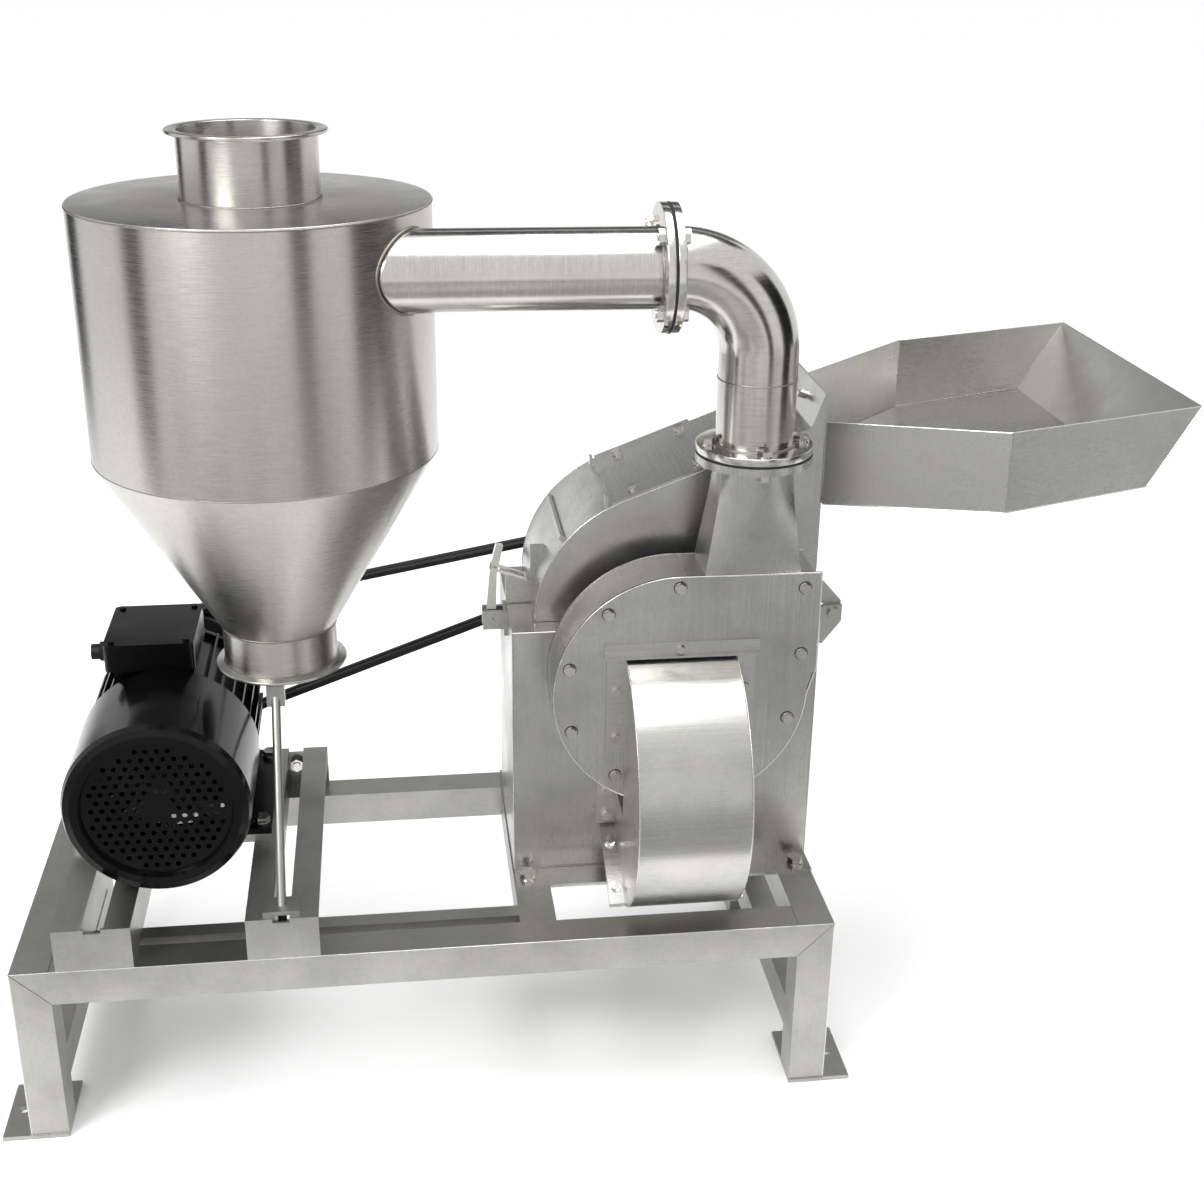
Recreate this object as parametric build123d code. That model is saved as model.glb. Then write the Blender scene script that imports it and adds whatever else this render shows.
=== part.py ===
"""Hammer mill with motor, V-belt drive, suction fan and cyclone on a welded stand.

Millimetres, +Z up. The origin is the centre of the four floor bolt holes,
X runs along the stand from the motor end to the feed tray, Y runs back to the belts.
"""
import os
from math import acos, atan2, cos, degrees, pi, radians, sin, sqrt, tan

from build123d import *

# stand
STAND_LENGTH = 1100.0
STAND_DEPTH = 480.0
STAND_TOP = 266.0
TUBE = 50.0
TUBE_WALL = 4.0
FOOT_PLATE = 6.0
FOOT_OUT = 38.0
FOOT_DEPTH = 110.0
FLOOR_HOLE_R = 7.0
FLOOR_HOLE_X = 570.0
FLOOR_HOLE_Y = 185.0
STRETCHER_LOW = 66.0
BEAM_LEFT = 120.0
TIE_ANGLE = 25.0
TIE_WALL = 3.0
TIE_Y = -173.0

# motor rails
RAIL_TOP = 327.0
RAIL_WALL = 4.0
RAIL_1 = (-490.0, -453.0, -424.0, -390.0)
RAIL_2 = (-244.0, -209.0, -186.0, -149.0)
NOTCH_WIDE = 22.0
NOTCH_DEEP = 6.0

# motor
MOTOR_X = -355.0
SHAFT_HEIGHT = 112.0
PACKER = 12.0
FOOT_LEVEL = RAIL_TOP + PACKER
MOTOR_Z = FOOT_LEVEL + SHAFT_HEIGHT
MOTOR_BODY = (15.0, 185.0)
BODY_CORE_R = 104.0
FIN_R = 118.0
FIN_COUNT = 36
FIN_WIDE = 3.0
STATOR_R = 88.0
STATOR_BORE_R = 60.0
AIR_GAP = 1.0
COWL_R = 123.0
COWL_FRONT = -160.0
COWL_BACK = 17.0
COWL_WALL = 2.0
COWL_DISH_R = 100.0
COWL_HOLE_R = 3.6
COWL_PITCH = 14.0
SHIELD_R = 112.0
SHIELD_BACK = 210.0
MOTOR_SHAFT_R = 14.0
MOTOR_BEARING_R = 28.0
FOOT_EDGE = 136.0
FOOT_INNER = 72.0
FOOT_BOLT = 122.0
FOOT_THICK = 9.0
FOOT_Y = (-40.0, 200.0)
FOOT_BOLT_Y = (-20.0, 180.0)
BOX_X = (-435.0, -312.0)
BOX_Y = (23.0, 165.0)
BOX_Z = (570.0, 605.0)
BOX_WALL = 3.0
LID_THICK = 5.0

# belt drive
BELT_WIDE = 13.0
BELT_HIGH = 8.0
BELT_PLANES = (272.5, 287.5)
GROOVE_GAP = 0.4
MOTOR_BELT_R = 100.0
MILL_BELT_R = 38.0
PULLEY_FACE = (257.0, 303.0)
PULLEY_OVER = 1.0

# mill
MILL_X = 338.0
MILL_Z = 642.0
MILL_LEFT = 122.0
MILL_RIGHT = 550.0
MILL_FRONT = -60.0
BEARING_WALL = -24.0
MILL_BACK = 187.0
SHEET = 3.0
BASE_FLANGE = 5.0
BASE_FRONT = -108.0
BASE_BACK = 238.0
DUCT_GAP = (262.0, 418.0)
BASE_BOLT_X = (140.0, 530.0)
BASE_BOLT_Y = (-84.0, 214.0)
SCREEN_R = 169.0
SCREEN_THICK = 3.0
SCREEN_Y = (-20.0, 182.0)
SCREEN_SEAT = 0.1
HOUSING_BEARING_R = 42.0
BEARING_R = 38.0
SHAFT_R = 20.0
SHAFT_END_R = 15.0
SHAFT_PASS_R = 24.0
RUNNING_FIT = 0.05
DISC_R = 115.0
DISC_THICK = 8.0
DISC_Y = (0.0, 52.0, 104.0, 156.0)
HUB_R = 34.0
PIN_CIRCLE = 95.0
PIN_R = 7.0
HAMMER_FIT = 0.1
HAMMER_WIDE = 40.0
HAMMER_THICK = 6.0
HAMMER_TAIL = 15.0
HAMMER_TIP = 160.0

# suction fan
FAN_Z = 582.0
FAN_R = 168.0
FAN_SHIFT = 8.0
FAN_TOP = 750.0
FAN_RIGHT = 525.0
CASE_RIGHT = 515.0
COVER_FRONT = -145.0
COVER_BACK = -142.0
CASE_BACK = -63.0
EYE_R = 52.0
IMPELLER_R = 80.0
BLADE_COUNT = 6
POST_R = 8.0
COVER_BOLTS = (
    (336.0, 735.0), (512.0 - 9.0, 729.0), (242.0, 701.0), (503.0, 634.0),
    (191.0, 624.0), (489.0, 539.0), (194.0, 532.0), (254.0, 463.0),
)

# duct between the screen chamber and the fan eye
DUCT_X = (266.0, 414.0)
DUCT_R = 190.0
DUCT_Y = -105.0
DUCT_Z = 452.0
DUCT_LOW = 262.0
DUCT_SHELF = 400.0
EYE_LOW = 503.0
EYE_HIGH = 634.0
DISCHARGE = (271.0, 397.0)
SPLIT_A = (-60.0, 337.7)
SPLIT_B = (-172.0, 272.0)
STRIP_WIDE = 20.0
STRIP_THICK = 5.0

# outlet pipe and cyclone
PIPE_R = 50.8
PIPE_WALL = 2.0
OUTLET_X = (369.0, 497.0)
OUTLET_Y = (-142.0, -60.0)
PIPE_X = 434.0
PIPE_Y = -103.0
FLANGE_Z = 895.0
FLANGE_THICK = 10.0
GASKET = 3.0
LOW_FLANGE_R = 76.0
LOW_BOLT_R = 62.5
BEND_R = 106.0
PIPE_Z = 1144.0
TOP_FLANGE_R = 80.0
TOP_BOLT_R = 66.0
TOP_FLANGE_X = 302.0
CYCLONE_X = -192.0
CYCLONE_Y = 10.0
CYCLONE_R = 223.0
CYCLONE_WALL = 2.0
CONE_TOP = 893.0
CYCLONE_TOP = 1215.0
LID = 3.0
CONE_R = 77.0
CONE_LOW = 645.0
COLLAR_LOW = 587.0
FERRULE_R = 89.0
NECK_R = 86.0
NECK_TOP = 1299.0
NECK_FERRULE_R = 99.0
NECK_LOW = 1050.0
ROD_R = 6.0
ROD_X = 0.5 * (RAIL_2[1] + RAIL_2[2])
ROD_Y = CYCLONE_Y - 82.0

# hood
HOOD_R = 182.0
HOOD_LOW = 642.5
HOOD_SLOPE = 21.0
HOOD_FRONT = BEARING_WALL
THROAT_TOP = 957.0
GATE_FOOT_X = 530.0
HINGE_X = 580.0
HINGE_Z = 636.0
HINGE_PIN_R = 6.0
HINGE_FIT = 0.1
LUG_THICK = 8.0
LUG_Y = (-20.0, 171.0)
SIDE_GAP = 0.5
PLATE_THICK = 4.0

# feed tray and gate
TRAY_Y = 80.0
TRAY_WALL = 2.0
TRAY_PLAN = ((0.0, 110.0), (205.0, 247.0), (462.0, 235.5))
TRAY_SIDE = ((0.0, 804.0), (400.0, 860.2), (462.0, 967.0), (205.0, 941.0), (0.0, 920.0))
FEED_HALF = 95.0
FEED_LOW = 806.0
FEED_HIGH = 866.0
GATE_HIGH = 62.0
GATE_THICK = 3.0
GATE_HALF = 100.0
GATE_FIT = 0.6

# latch
LATCH_Y = 50.0
LATCH_PIVOT = (100.0, 621.0)
LATCH_PIN_R = 4.0
LATCH_FIT = 0.1
BAIL_PIVOT = (104.0, 697.0)
BAIL_BAR = (150.0, 681.0)
WIRE_R = 2.5

# hexagon fasteners: across flats, head height, nut height, washer radius
HEX = {
    6: (10.0, 4.0, 5.0, 6.0),
    8: (13.0, 5.3, 6.5, 8.0),
    10: (17.0, 6.4, 8.0, 10.0),
    12: (19.0, 7.5, 10.0, 12.0),
}
BOLT_CLEAR = 0.4
WASHER = 1.5


def box(x0, x1, y0, y1, z0, z1):
    middle = ((x0 + x1) / 2, (y0 + y1) / 2, (z0 + z1) / 2)
    return Pos(*middle) * Box(x1 - x0, y1 - y0, z1 - z0)


def rod_x(r, x0, x1, y, z):
    return Pos((x0 + x1) / 2, y, z) * Rot(0, 90, 0) * Cylinder(r, x1 - x0)


def rod_y(r, y0, y1, x, z):
    return Pos(x, (y0 + y1) / 2, z) * Rot(90, 0, 0) * Cylinder(r, y1 - y0)


def rod_z(r, z0, z1, x, y):
    return Pos(x, y, (z0 + z1) / 2) * Cylinder(r, z1 - z0)


def prism_x(points, x0, x1):
    face = Plane.YZ.offset(x0) * Polygon(*points, align=None)
    return extrude(face, x1 - x0, dir=(1, 0, 0))


def prism_y(points, y0, y1):
    face = Plane.XZ.offset(-y0) * Polygon(*points, align=None)
    return extrude(face, y1 - y0, dir=(0, 1, 0))


def prism_z(points, z0, z1):
    face = Plane.XY.offset(z0) * Polygon(*points, align=None)
    return extrude(face, z1 - z0, dir=(0, 0, 1))


def lathe_y(points, x, z):
    """Turn a (radius, y) outline about an axis along Y through (x, z)."""
    return Pos(x, 0, z) * revolve(Polygon(*points, align=None), Axis.Y)


def lathe_z(points, x, y):
    """Turn a (radius, z) outline about an upright axis through (x, y)."""
    face = Plane.XZ * Polygon(*points, align=None)
    return Pos(x, y, 0) * revolve(face, Axis.Z)


def ring_y(outer, inner, y0, y1, x, z):
    return lathe_y([(inner, y0), (outer, y0), (outer, y1), (inner, y1)], x, z)


def ring_z(outer, inner, z0, z1, x, y):
    return lathe_z([(inner, z0), (outer, z0), (outer, z1), (inner, z1)], x, y)


def hexagon(flats, z0, z1):
    face = Pos(0, 0, z0) * RegularPolygon(flats / sqrt(3), 6)
    return extrude(face, z1 - z0, dir=(0, 0, 1))


def bolt(at, out, size, grip, nut=True):
    """Hexagon bolt whose washer sits at a point and whose head faces a direction."""
    flats, head, nut_high, washer = HEX[size]
    tail = grip + (nut_high + 2.0 if nut else 0.0)
    body = Pos(0, 0, -tail / 2) * Cylinder(size / 2, tail)
    body += Pos(0, 0, WASHER / 2) * Cylinder(washer, WASHER)
    body += hexagon(flats, WASHER, WASHER + head)
    if nut:
        body += hexagon(flats, -grip - nut_high, -grip)
    return Plane(origin=at, z_dir=out).location * body


def bolt_hole(at, out, size, deep):
    """Clearance hole for a bolt, from just above its seat to a depth below."""
    drill = Pos(0, 0, (1.0 - deep) / 2) * Cylinder(size / 2 + BOLT_CLEAR, deep + 1.0)
    return Plane(origin=at, z_dir=out).location * drill


def group(pieces):
    return Compound(children=[piece for part in pieces for piece in part.solids()])


# ---------------------------------------------------------------- stand

def base_bolt_places():
    return [(x, y, STAND_TOP + BASE_FLANGE) for x in BASE_BOLT_X for y in BASE_BOLT_Y]


def base_holes():
    deep = TUBE + BASE_FLANGE + 1.0
    return [bolt_hole(p, (0, 0, 1), 12, deep) for p in base_bolt_places()]


def long_rail(y0):
    half = STAND_LENGTH / 2
    low = STAND_TOP - TUBE
    w = TUBE_WALL
    outer = [(-half, STAND_TOP), (half, STAND_TOP), (half - TUBE, low), (TUBE - half, low)]
    inner = [
        (w - half, STAND_TOP - w), (half - w, STAND_TOP - w),
        (half - TUBE + w, low + w), (TUBE - half - w, low + w),
    ]
    return prism_y(outer, y0, y0 + TUBE) - prism_y(inner, y0 + w, y0 + TUBE - w)


def long_rails():
    pieces = []
    for y0 in (-STAND_DEPTH / 2, STAND_DEPTH / 2 - TUBE):
        pieces.append(long_rail(y0) - base_holes())
    return group(pieces)


def leg(side, y0):
    half = STAND_LENGTH / 2
    w = TUBE_WALL
    outer = [(-half, STAND_TOP), (TUBE - half, STAND_TOP - TUBE),
             (TUBE - half, FOOT_PLATE), (-half, FOOT_PLATE)]
    inner = [(w - half, STAND_TOP - w), (TUBE - half - w, STAND_TOP - TUBE + w),
             (TUBE - half - w, FOOT_PLATE - 1), (w - half, FOOT_PLATE - 1)]
    body = prism_y(outer, y0, y0 + TUBE) - prism_y(inner, y0 + w, y0 + TUBE - w)
    return mirror(body, Plane.YZ) if side > 0 else body


def legs():
    fronts = (-STAND_DEPTH / 2, STAND_DEPTH / 2 - TUBE)
    return group([leg(side, y0) for side in (-1, 1) for y0 in fronts])


def foot_plate(sx, sy):
    half = STAND_LENGTH / 2
    edge = STAND_DEPTH / 2
    x0, x1 = sorted((sx * (half - TUBE), sx * (half + FOOT_OUT)))
    y0, y1 = sorted((sy * edge, sy * (edge - FOOT_DEPTH)))
    plate = box(x0, x1, y0, y1, 0, FOOT_PLATE)
    hole = rod_z(FLOOR_HOLE_R, -1, FOOT_PLATE + 1, sx * FLOOR_HOLE_X, sy * FLOOR_HOLE_Y)
    return plate - hole


def foot_plates():
    return group([foot_plate(sx, sy) for sx in (-1, 1) for sy in (-1, 1)])


def square_tube_y(x0, z0):
    end = STAND_DEPTH / 2 - TUBE
    w = TUBE_WALL
    outer = box(x0, x0 + TUBE, -end, end, z0, z0 + TUBE)
    return outer - box(x0 + w, x0 + TUBE - w, -end - 1, end + 1, z0 + w, z0 + TUBE - w)


def side_rails():
    half = STAND_LENGTH / 2
    low = STAND_TOP - TUBE
    left = square_tube_y(-half, low)
    right = square_tube_y(half - TUBE, low) - base_holes()
    return group([left, right])


def side_stretchers():
    half = STAND_LENGTH / 2
    return group([square_tube_y(x0, STRETCHER_LOW) for x0 in (-half, half - TUBE)])


def mill_beam():
    return square_tube_y(BEAM_LEFT, STAND_TOP - TUBE) - base_holes()


def tie_bar():
    x0 = TUBE - STAND_LENGTH / 2
    flat = box(x0, BEAM_LEFT, TIE_Y, TIE_Y + TIE_ANGLE, STAND_TOP - TIE_WALL, STAND_TOP)
    upright = box(x0, BEAM_LEFT, TIE_Y, TIE_Y + TIE_WALL, STAND_TOP - TIE_ANGLE, STAND_TOP)
    return flat + upright


def frame_cross_members():
    return group([mill_beam(), tie_bar()])


# ---------------------------------------------------------------- motor rails

def rail_end(x0, x1, y0, slot):
    plate = box(x0, x1, y0, y0 + RAIL_WALL, STAND_TOP, RAIL_TOP)
    middle = (slot[0] + slot[1]) / 2
    notch = box(middle - NOTCH_WIDE / 2, middle + NOTCH_WIDE / 2, y0 - 1, y0 + RAIL_WALL + 1,
                RAIL_TOP - NOTCH_DEEP, RAIL_TOP + 1)
    return plate - notch


def motor_rail(lines, right_leg_outside):
    x0, x1, x2, x3 = lines
    y1 = STAND_DEPTH / 2
    low = RAIL_TOP - RAIL_WALL
    rail = box(x0, x1, -y1, y1, low, RAIL_TOP)
    rail += box(x1 - RAIL_WALL, x1, -y1, y1, STAND_TOP, RAIL_TOP)
    rail += box(x2, x3, -y1, y1, low, RAIL_TOP)
    leg_x = x3 - RAIL_WALL if right_leg_outside else x2
    rail += box(leg_x, leg_x + RAIL_WALL, -y1, y1, STAND_TOP, RAIL_TOP)
    rail += rail_end(x0, x3, -y1, (x1, x2))
    rail += rail_end(x0, x3, y1 - RAIL_WALL, (x1, x2))
    return rail


def tension_places():
    z = STAND_TOP + 0.6 * (RAIL_TOP - STAND_TOP)
    y = STAND_DEPTH / 2
    return [((lines[1] + lines[2]) / 2, y, z) for lines in (RAIL_1, RAIL_2)]


def motor_rails():
    cuts = [bolt_hole(p, (0, 0, 1), 12, FOOT_THICK + PACKER + RAIL_WALL + 1)
            for p in motor_foot_places()]
    cuts += [bolt_hole(p, (0, 1, 0), 12, RAIL_WALL + 1) for p in tension_places()]
    pieces = [motor_rail(RAIL_1, True), motor_rail(RAIL_2, False)]
    for s in (-1, 1):
        x0, x1 = sorted((MOTOR_X + s * FOOT_INNER, MOTOR_X + s * FOOT_EDGE))
        pieces.append(box(x0, x1, *FOOT_Y, RAIL_TOP, FOOT_LEVEL))
    return group([piece - cuts for piece in pieces])


def belt_tension_bolts():
    return group([bolt(p, (0, 1, 0), 12, RAIL_WALL) for p in tension_places()])


# ---------------------------------------------------------------- motor

def motor_foot_places():
    top = FOOT_LEVEL + FOOT_THICK
    return [(MOTOR_X + s * FOOT_BOLT, y, top) for s in (-1, 1) for y in FOOT_BOLT_Y]


def motor_feet():
    feet = None
    top = FOOT_LEVEL + FOOT_THICK
    for s in (-1, 1):
        x0, x1 = sorted((MOTOR_X + s * FOOT_INNER, MOTOR_X + s * FOOT_EDGE))
        pad = box(x0, x1, FOOT_Y[0], FOOT_Y[1], FOOT_LEVEL, top)
        feet = pad if feet is None else feet + pad
        for y in (MOTOR_BODY[0] + 20.0, MOTOR_BODY[1] - 30.0):
            web = [(MOTOR_X + s * 74.0, FOOT_LEVEL + 2), (MOTOR_X + s * 104.0, FOOT_LEVEL + 2),
                   (MOTOR_X + s * 92.0, MOTOR_Z - 55.0), (MOTOR_X + s * 60.0, MOTOR_Z - 70.0)]
            feet += prism_y(web, y, y + 12.0)
    return feet


def motor_fin(angle):
    deep = FIN_R - BODY_CORE_R + 4.0
    y0, y1 = MOTOR_BODY
    fin = Pos(BODY_CORE_R - 4.0 + deep / 2, (y0 + y1) / 2, 0) * Box(deep, y1 - y0, FIN_WIDE)
    return Pos(MOTOR_X, 0, MOTOR_Z) * Rot(0, -angle, 0) * fin


def cowl_lugs():
    """Four pads at the fan end that carry the cowl."""
    inner = COWL_R - COWL_WALL
    lugs = []
    for angle in (45, 135, 225, 315):
        lug = Pos(inner - 11, MOTOR_BODY[0] - 2, 0) * Box(24, 16, 14)
        lug = Pos(MOTOR_X, 0, MOTOR_Z) * Rot(0, -angle, 0) * lug
        lugs.append(lug & rod_y(inner, -200, 300, MOTOR_X, MOTOR_Z))
    return lugs


def motor_frame():
    y0, y1 = MOTOR_BODY
    body = rod_y(BODY_CORE_R, y0, y1, MOTOR_X, MOTOR_Z)
    body += motor_feet()
    body += [motor_fin(i * 360.0 / FIN_COUNT) for i in range(FIN_COUNT)]
    body += box(BOX_X[0] + 10, BOX_X[1] - 10, BOX_Y[0] + 10, BOX_Y[1] - 10,
                MOTOR_Z + 80, BOX_Z[0])
    body += cowl_lugs()
    body -= rod_y(STATOR_R, y0 - 20, y1 + 1, MOTOR_X, MOTOR_Z)
    return body - [bolt_hole(p, (0, 0, 1), 12, FOOT_THICK + 2) for p in motor_foot_places()]


def motor_stator():
    return ring_y(STATOR_R, STATOR_BORE_R, 45, 155, MOTOR_X, MOTOR_Z)


def motor_foot_bolts():
    grip = FOOT_THICK + PACKER + RAIL_WALL
    return group([bolt(p, (0, 0, 1), 12, grip) for p in motor_foot_places()])


def cowl_holes():
    holes = []
    step = COWL_PITCH * sqrt(3) / 2
    for row in range(-8, 9):
        for column in range(-8, 9):
            x = COWL_PITCH * (column + 0.5 * (row % 2))
            z = step * row
            if 18.0 < sqrt(x * x + z * z) < COWL_DISH_R - 12.0:
                holes.append(rod_y(COWL_HOLE_R, COWL_FRONT - 1, COWL_FRONT + 20,
                                   MOTOR_X + x, MOTOR_Z + z))
    return holes


def motor_fan_cowl():
    r = COWL_R
    f = COWL_FRONT
    w = COWL_WALL
    outline = [
        (r, COWL_BACK), (r, f + 12), (r - 3.5, f + 3), (r - 12.5, f), (COWL_DISH_R, f),
        (COWL_DISH_R - 2, f + 8), (0, f + 8), (0, f + 8 + w), (COWL_DISH_R - 3.5, f + 8 + w),
        (COWL_DISH_R - 1.3, f + w), (r - 13, f + w), (r - 5, f + 4.7),
        (r - w, f + 12.5), (r - w, COWL_BACK),
    ]
    return lathe_y(outline, MOTOR_X, MOTOR_Z) - cowl_holes()


def motor_end_shields():
    b = MOTOR_BEARING_R
    y0, y1 = MOTOR_BODY
    front = [(b, y0 - 12), (70, y0 - 12), (84, y0), (STATOR_R, y0), (STATOR_R, y0 + 6),
             (b, y0 + 6)]
    rear = [(b, y1 - 6), (STATOR_R, y1 - 6), (STATOR_R, y1), (SHIELD_R, y1),
            (SHIELD_R, y1 + 9), (60, y1 + 16), (52, SHIELD_BACK), (16, SHIELD_BACK),
            (16, SHIELD_BACK - 4), (b, SHIELD_BACK - 4)]
    return group([lathe_y(front, MOTOR_X, MOTOR_Z), lathe_y(rear, MOTOR_X, MOTOR_Z)])


def motor_shaft():
    r = MOTOR_SHAFT_R
    core = STATOR_BORE_R - AIR_GAP
    y1 = PULLEY_FACE[1]
    outline = [(0, -100), (r, -100), (r, 48), (core, 48), (core, 152), (r, 152),
               (r, y1 - 1), (r - 1, y1), (0, y1)]
    return lathe_y(outline, MOTOR_X, MOTOR_Z)


def motor_cooling_fan():
    fan = ring_y(24, MOTOR_SHAFT_R, -95, -45, MOTOR_X, MOTOR_Z)
    fan += ring_y(62, 20, -52, -48, MOTOR_X, MOTOR_Z)
    for i in range(8):
        blade = Pos(64, -66, 0) * Box(84, 36, 4)
        fan += Pos(MOTOR_X, 0, MOTOR_Z) * Rot(0, 45.0 * i, 0) * blade
    return fan


def lid_screw_places():
    top = BOX_Z[1] + LID_THICK
    return [(x, y, top) for x in (BOX_X[0] + 11, BOX_X[1] - 11)
            for y in (BOX_Y[0] + 11, BOX_Y[1] - 11)]


def terminal_box():
    w = BOX_WALL
    body = box(*BOX_X, *BOX_Y, *BOX_Z)
    body -= box(BOX_X[0] + w, BOX_X[1] - w, BOX_Y[0] + w, BOX_Y[1] - w, BOX_Z[0] + w, 700)
    for x, y, top in lid_screw_places():
        body += rod_z(7, BOX_Z[0], BOX_Z[1], x, y)
    body = fillet(body.edges().filter_by(Axis.Z).group_by(SortBy.LENGTH)[-1]
                  .filter_by(lambda e: on_box_corner(e)), 8)
    body -= rod_x(10.2, BOX_X[0] - 1, BOX_X[0] + w + 1, BOX_Y[0] + 35, gland_z())
    return body - [rod_z(2.6, top - 20, top, x, y) for x, y, top in lid_screw_places()]


def on_box_corner(edge):
    middle = edge.center()
    near_x = min(abs(middle.X - x) for x in BOX_X) < 0.1
    near_y = min(abs(middle.Y - y) for y in BOX_Y) < 0.1
    return near_x and near_y


def gland_z():
    return (BOX_Z[0] + BOX_Z[1]) / 2


def terminal_lid():
    z0 = BOX_Z[1]
    lid = box(*BOX_X, *BOX_Y, z0, z0 + LID_THICK)
    lid = fillet(lid.edges().filter_by(Axis.Z), 8)
    lid -= [rod_z(2.9, z0 - 1, z0 + 9, x, y) for x, y, top in lid_screw_places()]
    screws = []
    for x, y, top in lid_screw_places():
        screws.append(rod_z(4.5, top, top + 3, x, y) + rod_z(2.4, top - 14, top, x, y))
    return group([lid] + screws)


def cable_gland():
    y = BOX_Y[0] + 35
    x = BOX_X[0]
    gland = rod_x(10, x - 8, x + BOX_WALL + 5, y, gland_z())
    nut = Pos(x - 8, y, gland_z()) * Rot(0, 90, 0) * hexagon(26, 0, 8)
    dome = rod_x(11, x - 20, x - 8, y, gland_z())
    return gland + nut + dome - rod_x(5, x - 21, x + 20, y, gland_z())


# ---------------------------------------------------------------- belt drive

def belt_loop(inset, y0, y1):
    x0, z0, x1, z1 = MOTOR_X, MOTOR_Z, MILL_X, MILL_Z
    r0, r1 = MOTOR_BELT_R - inset, MILL_BELT_R - inset
    span = sqrt((x1 - x0) ** 2 + (z1 - z0) ** 2)
    line = atan2(z1 - z0, x1 - x0)
    turn = acos((r0 - r1) / span)
    corners = []
    for angle, first in ((line + turn, True), (line - turn, False)):
        pair = [(x0 + r0 * cos(angle), z0 + r0 * sin(angle)),
                (x1 + r1 * cos(angle), z1 + r1 * sin(angle))]
        corners += pair if first else pair[::-1]
    loop = prism_y(corners, y0, y1)
    loop += rod_y(r0, y0, y1, x0, z0)
    return loop + rod_y(r1, y0, y1, x1, z1)


def v_belts():
    belts = []
    for y in BELT_PLANES:
        y0, y1 = y - BELT_WIDE / 2, y + BELT_WIDE / 2
        belts.append(belt_loop(0, y0, y1) - belt_loop(BELT_HIGH, y0 - 1, y1 + 1))
    return group(belts)


def pulley(belt_r, bore_r, x, z):
    rim = belt_r + PULLEY_OVER
    floor = belt_r - BELT_HIGH - GROOVE_GAP
    half = BELT_WIDE / 2 + GROOVE_GAP
    y0, y1 = PULLEY_FACE
    outline = [(bore_r, y0), (rim, y0)]
    for y in BELT_PLANES:
        outline += [(rim, y - half), (floor, y - half), (floor, y + half), (rim, y + half)]
    outline += [(rim, y1), (bore_r, y1)]
    return lathe_y(outline, x, z)


def motor_pulley():
    body = pulley(MOTOR_BELT_R, MOTOR_SHAFT_R, MOTOR_X, MOTOR_Z)
    y0, y1 = PULLEY_FACE
    for a, b in ((y0 - 1, y0 + 14), (y1 - 14, y1 + 1)):
        body -= ring_y(80, 34, a, b, MOTOR_X, MOTOR_Z)
    for i in range(4):
        angle = radians(45 + 90 * i)
        body -= rod_y(15, y0 - 1, y1 + 1, MOTOR_X + 57 * cos(angle), MOTOR_Z + 57 * sin(angle))
    return body


def mill_pulley():
    return pulley(MILL_BELT_R, SHAFT_END_R, MILL_X, MILL_Z)


# ---------------------------------------------------------------- mill housing

def base_flanges():
    z0, z1 = STAND_TOP, STAND_TOP + BASE_FLANGE
    back = box(MILL_LEFT, MILL_RIGHT, MILL_BACK - 1, BASE_BACK, z0, z1)
    left = box(MILL_LEFT, DUCT_GAP[0], BASE_FRONT, MILL_FRONT + 1, z0, z1)
    right = box(DUCT_GAP[1], MILL_RIGHT, BASE_FRONT, MILL_FRONT + 1, z0, z1)
    return back + left + right


def screen_guides():
    outer = SCREEN_R + SCREEN_THICK + SCREEN_SEAT
    rings = ring_y(outer + 8, outer, BEARING_WALL - 1, BEARING_WALL + 8, MILL_X, MILL_Z)
    rings += ring_y(outer + 8, outer, MILL_BACK - SHEET - 6, MILL_BACK - 1, MILL_X, MILL_Z)
    return rings - box(0, 700, -80, 220, MILL_Z - 0.01, MILL_Z + 250)


def hinge_lug(y0):
    outline = [
        (MILL_RIGHT - 1, 590), (MILL_RIGHT - 1, 637), (566, 648), (592, 648), (592, 624),
        (566, 590),
    ]
    return prism_y(outline, y0, y0 + LUG_THICK)


def mill_box():
    s = SHEET
    top = MILL_Z
    low = STAND_TOP
    body = box(MILL_LEFT, MILL_RIGHT, MILL_FRONT, MILL_BACK, low, top)
    body -= box(MILL_LEFT + s, MILL_RIGHT - s, MILL_FRONT + s, BEARING_WALL - s, low + s, top - 4)
    chamber = box(MILL_LEFT + s, MILL_RIGHT - s, BEARING_WALL, MILL_BACK - s, low + s, top - s)
    chamber += box(MILL_LEFT + 44, MILL_RIGHT - 40, BEARING_WALL, MILL_BACK - s, low + s, top + 1)
    body -= chamber
    body -= box(DUCT_X[0] + s, DUCT_X[1] - s, BEARING_WALL - s - 1, BEARING_WALL + 1,
                low + s, MILL_Z - 195)
    return body


def mill_housing():
    body = mill_box() + base_flanges() + screen_guides()
    for y0 in LUG_Y:
        body += hinge_lug(y0)
    body -= box(DUCT_X[0] + SHEET, DUCT_X[1] - SHEET, MILL_FRONT - 1, MILL_FRONT + SHEET + 1,
                *DISCHARGE)
    body -= rod_y(SHAFT_PASS_R, MILL_FRONT - 1, MILL_BACK + 1, MILL_X, MILL_Z)
    body -= rod_y(HOUSING_BEARING_R, MILL_FRONT + SHEET, BEARING_WALL - SHEET, MILL_X, MILL_Z)
    body -= rod_y(HINGE_PIN_R, -40, 200, HINGE_X, HINGE_Z)
    body -= base_holes()
    body -= strip_wall_holes()
    return body - rear_bearing_holes()


def mill_base_bolts():
    grip = TUBE + BASE_FLANGE
    return group([bolt(p, (0, 0, 1), 12, grip) for p in base_bolt_places()])


def hinge_pin():
    pin = rod_y(HINGE_PIN_R, LUG_Y[0] - 6, LUG_Y[1] + LUG_THICK + 6, HINGE_X, HINGE_Z)
    head = rod_y(HINGE_PIN_R + 3, LUG_Y[0] - 6, LUG_Y[0], HINGE_X, HINGE_Z)
    return pin + head


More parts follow.
